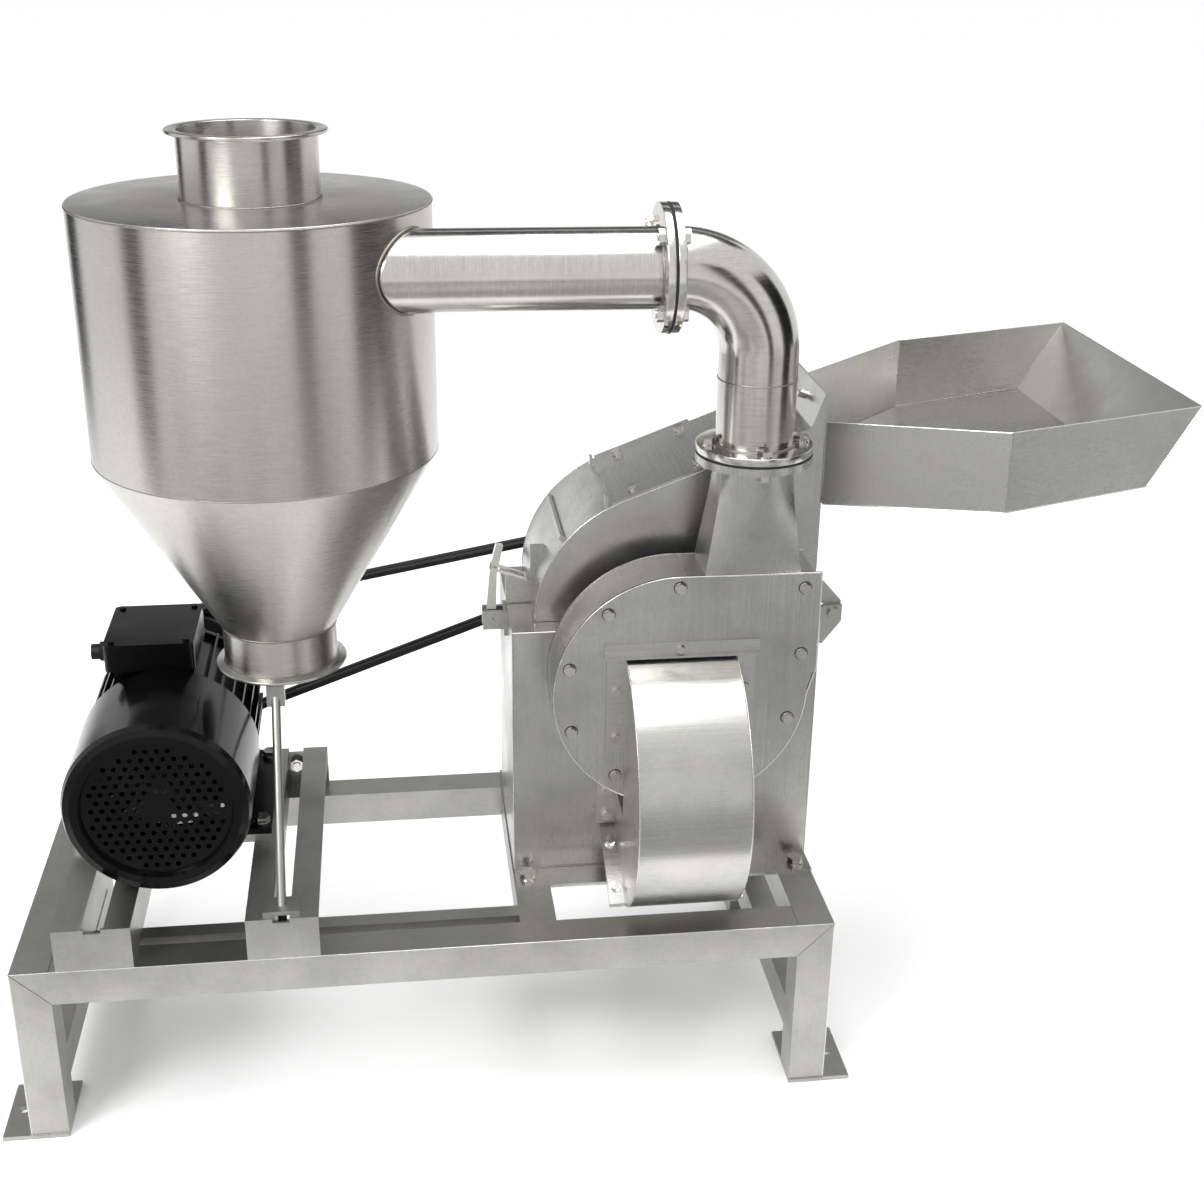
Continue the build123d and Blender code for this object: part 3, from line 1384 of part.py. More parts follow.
PARTS = {
    "long_rails": long_rails,
    "legs": legs,
    "foot_plates": foot_plates,
    "side_rails": side_rails,
    "side_stretchers": side_stretchers,
    "frame_cross_members": frame_cross_members,
    "motor_rails": motor_rails,
    "belt_tension_bolts": belt_tension_bolts,
    "motor_frame": motor_frame,
    "motor_stator": motor_stator,
    "motor_foot_bolts": motor_foot_bolts,
    "motor_fan_cowl": motor_fan_cowl,
    "motor_end_shields": motor_end_shields,
    "motor_shaft": motor_shaft,
    "motor_cooling_fan": motor_cooling_fan,
    "terminal_box": terminal_box,
    "terminal_lid": terminal_lid,
    "cable_gland": cable_gland,
    "motor_pulley": motor_pulley,
    "v_belts": v_belts,
    "mill_housing": mill_housing,
    "mill_base_bolts": mill_base_bolts,
    "screen": screen,
    "bearing_housings": bearing_housings,
    "bearings": bearings,
    "hinge_pin": hinge_pin,
    "discharge_spout": discharge_spout,
    "suction_duct": suction_duct,
    "duct_bolts": duct_bolts,
    "eye_frame": eye_frame,
    "fan_casing": fan_casing,
    "fan_cover": fan_cover,
    "fan_cover_bolts": fan_cover_bolts,
    "outlet_transition": outlet_transition,
    "flange_gaskets": flange_gaskets,
    "elbow": elbow,
    "inlet_pipe": inlet_pipe,
    "flange_bolts": flange_bolts,
    "cyclone_body": cyclone_body,
    "cyclone_lid": cyclone_lid,
    "cyclone_neck": cyclone_neck,
    "discharge_collar": discharge_collar,
    "support_rod": support_rod,
    "rotor_shaft": rotor_shaft,
    "rotor_discs": rotor_discs,
    "hammer_pins": hammer_pins,
    "hammers_a": lambda: hammers(0),
    "hammers_b": lambda: hammers(1),
    "hammers_c": lambda: hammers(2),
    "hammers_d": lambda: hammers(3),
    "fan_impeller": fan_impeller,
    "mill_pulley": mill_pulley,
    "hood": hood,
    "hood_cover_plate": hood_cover_plate,
    "hood_bolts": hood_bolts,
    "feed_tray": feed_tray,
    "latch_bracket": latch_bracket,
    "latch_lever": latch_lever,
    "latch_bail": latch_bail,
    "feed_gate": feed_gate,
}


def main():
    os.makedirs("parts", exist_ok=True)
    for name, make in PARTS.items():
        export_step(make(), f"parts/{name}.step")


if __name__ == "__main__":
    main()
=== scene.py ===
import math

import bpy
import numpy as np
from mathutils import Matrix


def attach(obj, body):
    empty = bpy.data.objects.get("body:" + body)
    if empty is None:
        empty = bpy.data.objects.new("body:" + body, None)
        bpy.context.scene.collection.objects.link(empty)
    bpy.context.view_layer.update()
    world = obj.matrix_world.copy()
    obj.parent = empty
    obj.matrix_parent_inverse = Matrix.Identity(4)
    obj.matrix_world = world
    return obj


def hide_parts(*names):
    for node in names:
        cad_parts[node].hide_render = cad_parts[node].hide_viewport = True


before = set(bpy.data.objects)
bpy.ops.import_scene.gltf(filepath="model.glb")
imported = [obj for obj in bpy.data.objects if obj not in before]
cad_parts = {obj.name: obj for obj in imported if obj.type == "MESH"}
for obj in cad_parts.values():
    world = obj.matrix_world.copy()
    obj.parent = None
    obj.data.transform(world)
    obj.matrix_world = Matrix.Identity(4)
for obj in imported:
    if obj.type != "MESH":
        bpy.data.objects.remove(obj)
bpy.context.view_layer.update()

bl_info = {
    "name": "Hammer mill looks",
    "version": (1, 0, 0),
    "blender": (4, 5, 0),
    "location": "View3D > Sidebar > Hammer mill",
    "description": "Surfaces, materials, lights and camera for a hammer mill with a cyclone",
    "category": "Object",
}

MM = 0.001

# weld beads swell in a wave of this share of their radius
WELD_RIPPLE = 0.12

# lower half of the mill and the hood, in millimetres
MILL_LEFT, MILL_RIGHT = 122.0, 550.0
MILL_FRONT = -60.0
SHAFT_X, SHAFT_Z = 338.0, 642.0
HOOD_RADIUS = 181.7
HOOD_SLOPE = 21.0
HOOD_EDGE_X = 470.0

# fan volute: a half circle on the left and a quarter on the right, with centres 8 mm apart,
# closed by straight runs
VOLUTE_X, VOLUTE_RIGHT_X, VOLUTE_Z = 338.0, 346.0, 582.0
VOLUTE_RADIUS = 167.6
VOLUTE_SIDE_X, VOLUTE_TOP_Z = 524.5, 749.5
COVER_FACE_Y = -145.4
COVER_BOLTS = ((336.0, 735.0), (503.0, 729.0), (242.0, 701.0), (503.0, 634.0),
               (191.0, 624.0), (489.0, 539.0), (194.0, 532.0), (254.0, 463.0))
# radius of the painted contact shadow ring round each cover bolt
BOLT_SHADOW_RADIUS = 8.4

# square tube stand: half its length, half its depth, its top and the side of the tube
STAND_HALF, STAND_EDGE, STAND_TOP, TUBE = 550.0, 240.0, 266.0, 50.0
FOOT_TOP = 6.0

# feed tray: distances from the hood to its widest point, to the end of its floor and of its rim
TRAY_WIDE, TRAY_FLOOR_END, TRAY_RIM_END = 205, 400, 462
TRAY_HALF_WIDTHS = [110.0, 247.0, 235.5]

# feed tray outlines as (distance from the hood, height)
TRAY_FOLD = ((0, 804.0), (TRAY_WIDE, 832.8), (TRAY_FLOOR_END, 860.2), (TRAY_RIM_END, 967.0))
TRAY_RIM = ((0, 920.0), (TRAY_WIDE, 941.0), (461, 967.0))
TRAY_INNER = ((0, 806.6), (TRAY_WIDE, 835.4), (398, 862.8), (459.6, 966.0))

# y of the middle of each belt
BELT_ROWS = (272.5, 287.5)

RISER_SEAM_Z = 1004.0
FLANGE_RADIUS = 80.0
RISER_FLANGE_RADIUS = 76.0


# ---------------------------------------------------------------- geometry helpers

def grid_mesh(name, points, wrap_u=False, wrap_v=False):
    """Quad surface over an array of points shaped (rows, columns, 3), in millimetres."""
    rows, columns = points.shape[:2]
    index = np.arange(rows * columns).reshape(rows, columns)
    if wrap_u:
        index = np.vstack([index, index[:1]])
    if wrap_v:
        index = np.hstack([index, index[:, :1]])
    a, b = index[:-1, :-1].ravel(), index[1:, :-1].ravel()
    c, d = index[1:, 1:].ravel(), index[:-1, 1:].ravel()
    quads = np.stack([a, b, c, d], axis=1)
    mesh = bpy.data.meshes.new(name)
    mesh.vertices.add(rows * columns)
    mesh.vertices.foreach_set("co", (points.reshape(-1, 3) * MM).astype(np.float32).ravel())
    mesh.loops.add(quads.size)
    mesh.loops.foreach_set("vertex_index", quads.ravel().astype(np.int32))
    mesh.polygons.add(len(quads))
    mesh.polygons.foreach_set("loop_start", np.arange(0, quads.size, 4, dtype=np.int32))
    mesh.polygons.foreach_set("use_smooth", np.ones(len(quads), bool))
    mesh.update(calc_edges=True)
    mesh.validate()
    return mesh


def rounded(points, radius, steps=4):
    """Outline whose corners are replaced by short arcs (quadratic curves through the corner)."""
    pts = np.asarray(points, float)
    out = [pts[0]]
    for before, corner, after in zip(pts[:-2], pts[1:-1], pts[2:]):
        p, q = before - corner, after - corner
        lp, lq = np.linalg.norm(p), np.linalg.norm(q)
        cut = min(radius, 0.45 * lp, 0.45 * lq)
        start, end = corner + p / lp * cut, corner + q / lq * cut
        t = np.linspace(0, 1, steps + 1)[:, None]
        out.extend((1 - t) ** 2 * start + 2 * t * (1 - t) * corner + t ** 2 * end)
    out.append(pts[-1])
    return np.array(out)


def lathe(name, outline, centre, axis="Z", count=160):
    """Surface of revolution: (radius, height) turned about an axis through a centre point."""
    outline = np.asarray(outline, float)
    turn = np.linspace(0, 2 * np.pi, count, endpoint=False)
    r, h = outline[:, :1], outline[:, 1:2]
    c, s = r * np.cos(turn), r * np.sin(turn)
    height = np.broadcast_to(h, c.shape)
    order = {"Z": (c, s, height), "Y": (c, height, s), "X": (height, c, s)}[axis]
    points = np.stack(order, axis=-1) + np.asarray(centre, float)
    return grid_mesh(name, points, wrap_v=True)


def tube(name, path, radius, ripple=0.0, pitch=2.2, closed=False, count=10):
    """Round section swept along a path; ripple swells it in a wave of the given pitch."""
    path = np.asarray(path, float)
    ahead = np.roll(path, -1, axis=0) - np.roll(path, 1, axis=0)
    if not closed:
        ahead[0], ahead[-1] = path[1] - path[0], path[-1] - path[-2]
    ahead /= np.linalg.norm(ahead, axis=1, keepdims=True)
    helper = np.where(np.abs(ahead[:, 2:3]) > 0.9, [[1.0, 0, 0]], [[0, 0, 1.0]])
    side = np.cross(ahead, helper)
    side /= np.linalg.norm(side, axis=1, keepdims=True)
    up = np.cross(side, ahead)
    step = np.linalg.norm(np.diff(path, axis=0, prepend=path[:1]), axis=1)
    swell = radius * (1 + ripple * np.sin(2 * np.pi * np.cumsum(step) / pitch))
    turn = np.linspace(0, 2 * np.pi, count, endpoint=False)
    ring = side[:, None] * np.cos(turn)[None, :, None] + up[:, None] * np.sin(turn)[None, :, None]
    points = path[:, None] + ring * swell[:, None, None]
    return grid_mesh(name, points, wrap_u=closed, wrap_v=True)


def circle_path(radius, centre, axis="Z", count=720):
    """Points round a circle about an axis."""
    t = np.linspace(0, 2 * np.pi, count, endpoint=False)
    c, s, o = radius * np.cos(t), radius * np.sin(t), np.zeros(count)
    order = {"Z": (c, s, o), "Y": (c, o, s), "X": (o, c, s)}[axis]
    return np.stack(order, axis=1) + np.asarray(centre, float)


def place(mesh, body, material, replaced=()):
    """Link a mesh as a piece that rides on a body, with its material."""
    piece = bpy.data.objects.new(mesh.name, mesh)
    bpy.context.scene.collection.objects.link(piece)
    mesh.materials.append(material)
    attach(piece, body)
    if replaced:
        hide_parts(*replaced)
    return piece


# ---------------------------------------------------------------- materials

def linear(code):
    """Linear RGBA from an sRGB hex code."""
    raw = [int(code[i:i + 2], 16) / 255 for i in (0, 2, 4)]
    return tuple(v / 12.92 if v <= 0.04045 else ((v + 0.055) / 1.055) ** 2.4 for v in raw) + (1.0,)


def add(tree, kind, values=(), **properties):
    """Add one shader node, set its properties, then its sockets to constants or links."""
    node = tree.nodes.new(kind)
    for key, value in properties.items():
        setattr(node, key, value)
    for key, value in dict(values).items():
        socket = node.inputs[key]
        if isinstance(value, bpy.types.NodeSocket):
            tree.links.new(value, socket)
        else:
            socket.default_value = value
    return node


def blank(name):
    """A material by name with its node tree emptied."""
    material = bpy.data.materials.get(name) or bpy.data.materials.new(name)
    material.use_nodes = True
    material.node_tree.nodes.clear()
    return material, material.node_tree


def scaled(tree, scale):
    """Object coordinates multiplied by a scale in cycles per metre on each axis."""
    where = add(tree, "ShaderNodeTexCoord")
    return add(tree, "ShaderNodeMapping", {"Vector": where.outputs["Object"], "Scale": scale})


def grey(tree, texture, low, high, out_low, out_high):
    """Map a texture's value from one range to another."""
    return add(tree, "ShaderNodeMapRange", {
        "Value": texture, "From Min": low, "From Max": high,
        "To Min": out_low, "To Max": out_high,
    })


def steel(name, colour, rough, grain, grain_rough=0.07, grain_bump=0.012, cloud=0.10, patch=9.0,
          turned=0.0, stain=0.10):
    """Stainless steel: fine grain stretched along one axis, with cloudy variation in sheen.

    grain is cycles per metre on each axis, high across the brush marks and low along them.
    turned stretches highlights across marks that run round the Z axis.
    """
    material, tree = blank(name)
    fine = add(tree, "ShaderNodeTexNoise", {
        "Vector": scaled(tree, grain).outputs[0], "Scale": 1.0, "Detail": 3.0,
        "Roughness": 0.65})
    broad = add(tree, "ShaderNodeTexNoise", {
        "Vector": scaled(tree, (patch,) * 3).outputs[0], "Scale": 1.0, "Detail": 5.0,
        "Roughness": 0.6})
    marks = add(tree, "ShaderNodeTexNoise", {
        "Vector": scaled(tree, (160.0,) * 3).outputs[0], "Scale": 1.0, "Detail": 2.0,
        "Roughness": 0.5})
    sheen = grey(tree, fine.outputs[0], 0.3, 0.7, -grain_rough, grain_rough)
    cloudy = grey(tree, broad.outputs[0], 0.3, 0.7, rough - cloud / 2, rough + cloud / 2)
    total = add(tree, "ShaderNodeMath", {0: sheen.outputs[0], 1: cloudy.outputs[0]},
                operation="ADD", use_clamp=True)
    shade = grey(tree, fine.outputs[0], 0.3, 0.7, 0.90, 1.04)
    spots = grey(tree, marks.outputs[0], 0.35, 0.75, 1.0, 0.94)
    tarnish = grey(tree, broad.outputs[0], 0.35, 0.7, 1.0 + stain / 2, 1.0 - stain)
    tone = add(tree, "ShaderNodeMath", {0: shade.outputs[0], 1: spots.outputs[0]},
               operation="MULTIPLY")
    tone = add(tree, "ShaderNodeMath", {0: tone.outputs[0], 1: tarnish.outputs[0]},
               operation="MULTIPLY")
    tint = add(tree, "ShaderNodeVectorMath", {0: linear(colour)[:3], "Scale": tone.outputs[0]},
               operation="SCALE")
    bump = add(tree, "ShaderNodeBump", {
        "Height": fine.outputs[0], "Strength": 0.5, "Distance": grain_bump * MM})
    round_z = add(tree, "ShaderNodeTangent", direction_type="RADIAL", axis="Z")
    surface = add(tree, "ShaderNodeBsdfPrincipled", {
        "Base Color": tint.outputs[0], "Metallic": 1.0, "Roughness": total.outputs[0],
        "Normal": bump.outputs[0], "Tangent": round_z.outputs[0],
        "Anisotropic": turned, "Anisotropic Rotation": 0.25})
    add(tree, "ShaderNodeOutputMaterial", {"Surface": surface.outputs[0]})
    return material


def coated(name, colour, rough, coat=0.0, peel=0.02, peel_scale=260.0, dust=0.1, metal=0.0,
           shine=0.35):
    """Paint, plastic, rubber or cast metal with an orange-peel surface and light dust."""
    material, tree = blank(name)
    skin = add(tree, "ShaderNodeTexNoise", {
        "Vector": scaled(tree, (peel_scale,) * 3).outputs[0], "Scale": 1.0, "Detail": 2.0})
    cloud = add(tree, "ShaderNodeTexNoise", {
        "Vector": scaled(tree, (14.0,) * 3).outputs[0], "Scale": 1.0, "Detail": 4.0})
    gloss = grey(tree, cloud.outputs[0], 0.3, 0.7, rough * 0.8, rough * 1.25)
    base = linear(colour)
    pale = tuple(min(1.0, v + dust * 0.08) for v in base[:3]) + (1.0,)
    amount = grey(tree, cloud.outputs[0], 0.45, 0.8, 0.0, 1.0)
    tint = add(tree, "ShaderNodeMix", {0: amount.outputs[0], 6: base, 7: pale},
               data_type="RGBA")
    bump = add(tree, "ShaderNodeBump", {
        "Height": skin.outputs[0], "Strength": 0.6, "Distance": peel * MM})
    surface = add(tree, "ShaderNodeBsdfPrincipled", {
        "Base Color": tint.outputs[2], "Metallic": metal, "Roughness": gloss.outputs[0],
        "Specular IOR Level": shine, "Coat Weight": coat, "Coat Roughness": 0.12,
        "Normal": bump.outputs[0]})
    add(tree, "ShaderNodeOutputMaterial", {"Surface": surface.outputs[0]})
    return material


def make_materials():
    """Every finish of the machine, keyed by a short name."""
    long_x = (6.0, 1500.0, 1500.0)
    long_y = (1500.0, 6.0, 1500.0)
    long_z = (1500.0, 1500.0, 6.0)
    rings = (30.0, 30.0, 2600.0)
    return {
        "rail_x": steel("satin stainless tube", "B3B2AE", 0.38, long_x, stain=0.14),
        "rail_y": steel("satin stainless cross tube", "B0AFAB", 0.38, long_y, stain=0.14),
        "leg_z": steel("satin stainless leg", "AFAEAA", 0.38, long_z, stain=0.14),
        "sheet": steel("brushed stainless sheet", "BFBEBA", 0.30, long_z, cloud=0.22,
                       patch=5.5, stain=0.30),
        "sheet_x": steel("brushed stainless sheet along x", "C4C3C0", 0.32, long_x, cloud=0.16,
                         stain=0.14),
        "sheet_y": steel("brushed stainless sheet along y", "C2C1BE", 0.28, long_y, cloud=0.16,
                         stain=0.14),
        "band": steel("rolled stainless band", "C2C1BD", 0.26, long_x, grain_rough=0.05,
                      cloud=0.10, stain=0.12),
        "drum": steel("polished stainless drum", "BEBCB8", 0.28, rings, grain_rough=0.05,
                      cloud=0.06, patch=5.0, turned=0.75, stain=0.06),
        "lid": steel("polished stainless lid", "C2C0BC", 0.30, (40.0, 1400.0, 1400.0)),
        "pipe_x": steel("polished stainless pipe", "CAC8C4", 0.18, (900.0, 30.0, 30.0),
                        grain_rough=0.03, cloud=0.05, stain=0.08),
        "pipe_z": steel("polished stainless riser", "CAC8C4", 0.18, (30.0, 30.0, 900.0),
                        grain_rough=0.03, cloud=0.05, stain=0.08),
        "weld": steel("stainless weld bead", "95928C", 0.32, (700.0,) * 3, cloud=0.2),
        # edge beads lighter than the steel they edge: a real rounded edge, with a painted
        # highlight in its colour
        "edge_highlight": steel("stainless edge with painted highlight", "DAD8D4", 0.20, (400.0,) * 3, cloud=0.1),
        "bolt": steel("stainless fastener", "D2D0CB", 0.16, (500.0,) * 3, grain_rough=0.05),
        "dark": steel("ground steel", "77756F", 0.38, (900.0,) * 3),
        "paint": coated("black machine enamel", "050506", 0.20, peel=0.05, dust=0.03,
                        shine=0.22),
        "cowl": coated("black cowl enamel", "040405", 0.15, peel=0.03, dust=0.02,
                       shine=0.22),
        "plastic": coated("black moulded plastic", "0C0C0D", 0.45),
        "iron": coated("blackened cast iron", "1C1C1E", 0.5, peel=0.2, metal=0.4),
        "rubber": coated("black belt rubber", "0B0B0B", 0.62, peel=0.06, peel_scale=900.0,
                         dust=0.3),
        "gasket": coated("dark gasket sheet", "1B1B1B", 0.7),
        # dark joint line round the cover, and a painted contact shadow where it rings the cover
        # bolts
        "joint_and_shadow_line": coated("dark joint line and painted shadow", "24231F", 0.6),
    }


NODE_FINISH = {
    "long_rails": "rail_x", "legs": "leg_z", "foot_plates": "rail_x", "side_rails": "rail_y",
    "side_stretchers": "rail_y", "frame_cross_members": "rail_y", "motor_rails": "rail_y",
    "belt_tension_bolts": "bolt", "motor_frame": "paint", "motor_stator": "dark",
    "motor_foot_bolts": "bolt", "motor_fan_cowl": "cowl", "motor_end_shields": "paint",
    "motor_shaft": "dark", "motor_cooling_fan": "plastic", "terminal_box": "paint",
    "terminal_lid": "paint", "cable_gland": "plastic", "motor_pulley": "iron",
    "v_belts": "rubber", "mill_housing": "sheet", "mill_base_bolts": "bolt", "screen": "sheet",
    "bearing_housings": "iron", "bearings": "dark", "hinge_pin": "bolt",
    "discharge_spout": "sheet_x", "suction_duct": "sheet_x", "duct_bolts": "bolt",
    "eye_frame": "sheet_x", "fan_casing": "sheet", "fan_cover": "sheet",
    "fan_cover_bolts": "bolt", "outlet_transition": "sheet", "flange_gaskets": "gasket",
    "elbow": "pipe_z", "inlet_pipe": "pipe_x", "flange_bolts": "bolt", "cyclone_body": "drum",
    "cyclone_lid": "lid", "cyclone_neck": "drum", "discharge_collar": "drum",
    "support_rod": "leg_z", "rotor_shaft": "dark", "rotor_discs": "dark",
    "hammer_pins": "dark", "hammers_a": "dark", "hammers_b": "dark", "hammers_c": "dark",
    "hammers_d": "dark", "fan_impeller": "dark", "mill_pulley": "iron", "hood": "sheet_y",
    "hood_cover_plate": "sheet_y", "hood_bolts": "bolt", "feed_tray": "sheet_x",
    "latch_bracket": "sheet", "latch_lever": "bolt", "latch_bail": "bolt",
    "feed_gate": "sheet",
}


# ---------------------------------------------------------------- settings

class CycloneSettings(bpy.types.PropertyGroup):
    x: bpy.props.FloatProperty(default=-192.0)
    y: bpy.props.FloatProperty(default=10.0)
    radius: bpy.props.FloatProperty(default=223.0)
    wall: bpy.props.FloatProperty(default=2.0)
    top: bpy.props.FloatProperty(default=1215.0)
    cone_top: bpy.props.FloatProperty(default=893.0)
    cone_low: bpy.props.FloatProperty(default=645.0)
    cone_radius: bpy.props.FloatProperty(default=77.0)
    collar_low: bpy.props.FloatProperty(default=587.0)
    ferrule: bpy.props.FloatProperty(default=89.0)
    neck: bpy.props.FloatProperty(default=86.0)
    neck_top: bpy.props.FloatProperty(default=1299.0)
    neck_low: bpy.props.FloatProperty(default=1050.0)
    neck_ferrule: bpy.props.FloatProperty(default=99.0)


class PipeSettings(bpy.types.PropertyGroup):
    radius: bpy.props.FloatProperty(default=50.8)
    wall: bpy.props.FloatProperty(default=2.0)
    x: bpy.props.FloatProperty(default=434.0)
    y: bpy.props.FloatProperty(default=-103.0)
    level: bpy.props.FloatProperty(default=1144.0)
    bend: bpy.props.FloatProperty(default=106.0)
    low: bpy.props.FloatProperty(default=908.0)
    flange_x: bpy.props.FloatProperty(default=302.0)
    flange_thick: bpy.props.FloatProperty(default=10.0)
    gasket: bpy.props.FloatProperty(default=3.0)


class BeltSettings(bpy.types.PropertyGroup):
    motor_x: bpy.props.FloatProperty(default=-355.0)
    motor_z: bpy.props.FloatProperty(default=451.0)
    mill_x: bpy.props.FloatProperty(default=338.0)
    mill_z: bpy.props.FloatProperty(default=642.0)
    motor_radius: bpy.props.FloatProperty(default=100.0)
    mill_radius: bpy.props.FloatProperty(default=38.0)
    high: bpy.props.FloatProperty(default=8.0)


class DuctSettings(bpy.types.PropertyGroup):
    x0: bpy.props.FloatProperty(default=266.0)
    x1: bpy.props.FloatProperty(default=414.0)
    y: bpy.props.FloatProperty(default=-105.0)
    z: bpy.props.FloatProperty(default=452.0)
    radius: bpy.props.FloatProperty(default=190.0)
    front: bpy.props.FloatProperty(default=-145.0)


class TraySettings(bpy.types.PropertyGroup):
    x: bpy.props.FloatProperty(default=550.0)
    y: bpy.props.FloatProperty(default=80.0)


class StageSettings(bpy.types.PropertyGroup):
    camera_x: bpy.props.FloatProperty(default=-29.2)
    camera_y: bpy.props.FloatProperty(default=-2104.3)
    camera_z: bpy.props.FloatProperty(default=1549.2)
    yaw: bpy.props.FloatProperty(default=7.62)
    pitch: bpy.props.FloatProperty(default=22.77)
    roll: bpy.props.FloatProperty(default=-0.806)
    lens: bpy.props.FloatProperty(default=49.32)


# ---------------------------------------------------------------- operators

FINISHES = {}


class FinishCadNodes(bpy.types.Operator):
    """Give each CAD node its procedural finish"""
    bl_idname = "mill.finish_cad_nodes"
    bl_label = "Finish CAD nodes"

    def execute(self, context):
        for name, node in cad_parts.items():
            finish = FINISHES[NODE_FINISH[name]]
            for index in range(max(1, len(node.material_slots))):
                if node.material_slots:
                    node.material_slots[index].material = finish
                else:
                    node.data.materials.append(finish)
        return {"FINISHED"}


class BuildCyclone(bpy.types.Operator):
    """Turned shells of the cyclone with rolled rims and weld beads"""
    bl_idname = "mill.build_cyclone"
    bl_label = "Build cyclone"

    def execute(self, context):
        p = context.scene.mill_cyclone
        at = (p.x, p.y, 0)
        w = p.wall
        barrel = rounded([
            (p.radius - w, p.top - 3), (p.radius, p.top - 3), (p.radius, p.cone_top),
            (p.cone_radius, p.cone_low), (p.cone_radius - w, p.cone_low),
            (p.radius - w, p.cone_top + 0.5), (p.radius - w, p.top - 3)], 2.0)
        place(lathe("cyclone_barrel", barrel, at, count=256), "stand", FINISHES["drum"],
              ["cyclone_body"])
        lid = rounded([
            (p.neck, p.top - 3), (p.radius, p.top - 3), (p.radius, p.top), (p.neck, p.top)], 1.6)
        place(lathe("cyclone_lid_plate", lid, at, count=256), "stand", FINISHES["lid"],
              ["cyclone_lid"])
        neck = rounded([
            (p.neck - w, p.neck_low), (p.neck, p.neck_low), (p.neck, p.neck_top - 6),
            (p.neck_ferrule, p.neck_top - 4), (p.neck_ferrule, p.neck_top),
            (p.neck - w, p.neck_top), (p.neck - w, p.neck_low)], 1.5)
        place(lathe("cyclone_neck_tube", neck, at, count=192), "stand", FINISHES["drum"],
              ["cyclone_neck"])
        collar = rounded([
            (p.cone_radius - w, p.cone_low), (p.cone_radius, p.cone_low),
            (p.cone_radius, p.collar_low + 6), (p.ferrule, p.collar_low + 4),
            (p.ferrule, p.collar_low), (p.cone_radius - w, p.collar_low),
            (p.cone_radius - w, p.cone_low)], 1.5)
        place(lathe("cyclone_collar_tube", collar, at, count=192), "stand", FINISHES["drum"],
              ["discharge_collar"])
        beads = (
            ("weld_lid", p.radius - 0.4, p.top - 2.6, 1.3),
            ("weld_neck", p.neck + 0.4, p.top + 0.4, 1.5),
            ("weld_cone", p.radius - 0.5, p.cone_top, 0.9),
            ("weld_collar", p.cone_radius - 0.1, p.cone_low, 1.5),
            ("weld_ferrule", p.cone_radius + 0.3, p.collar_low + 6.2, 1.1),
        )
        for name, radius, z, size in beads:
            count = int(2 * math.pi * radius / 0.7)
            path = circle_path(radius, (p.x, p.y, z), count=count)
            place(tube(name, path, size, ripple=WELD_RIPPLE, closed=True, count=8), "stand",
                  FINISHES["weld"])
        return {"FINISHED"}


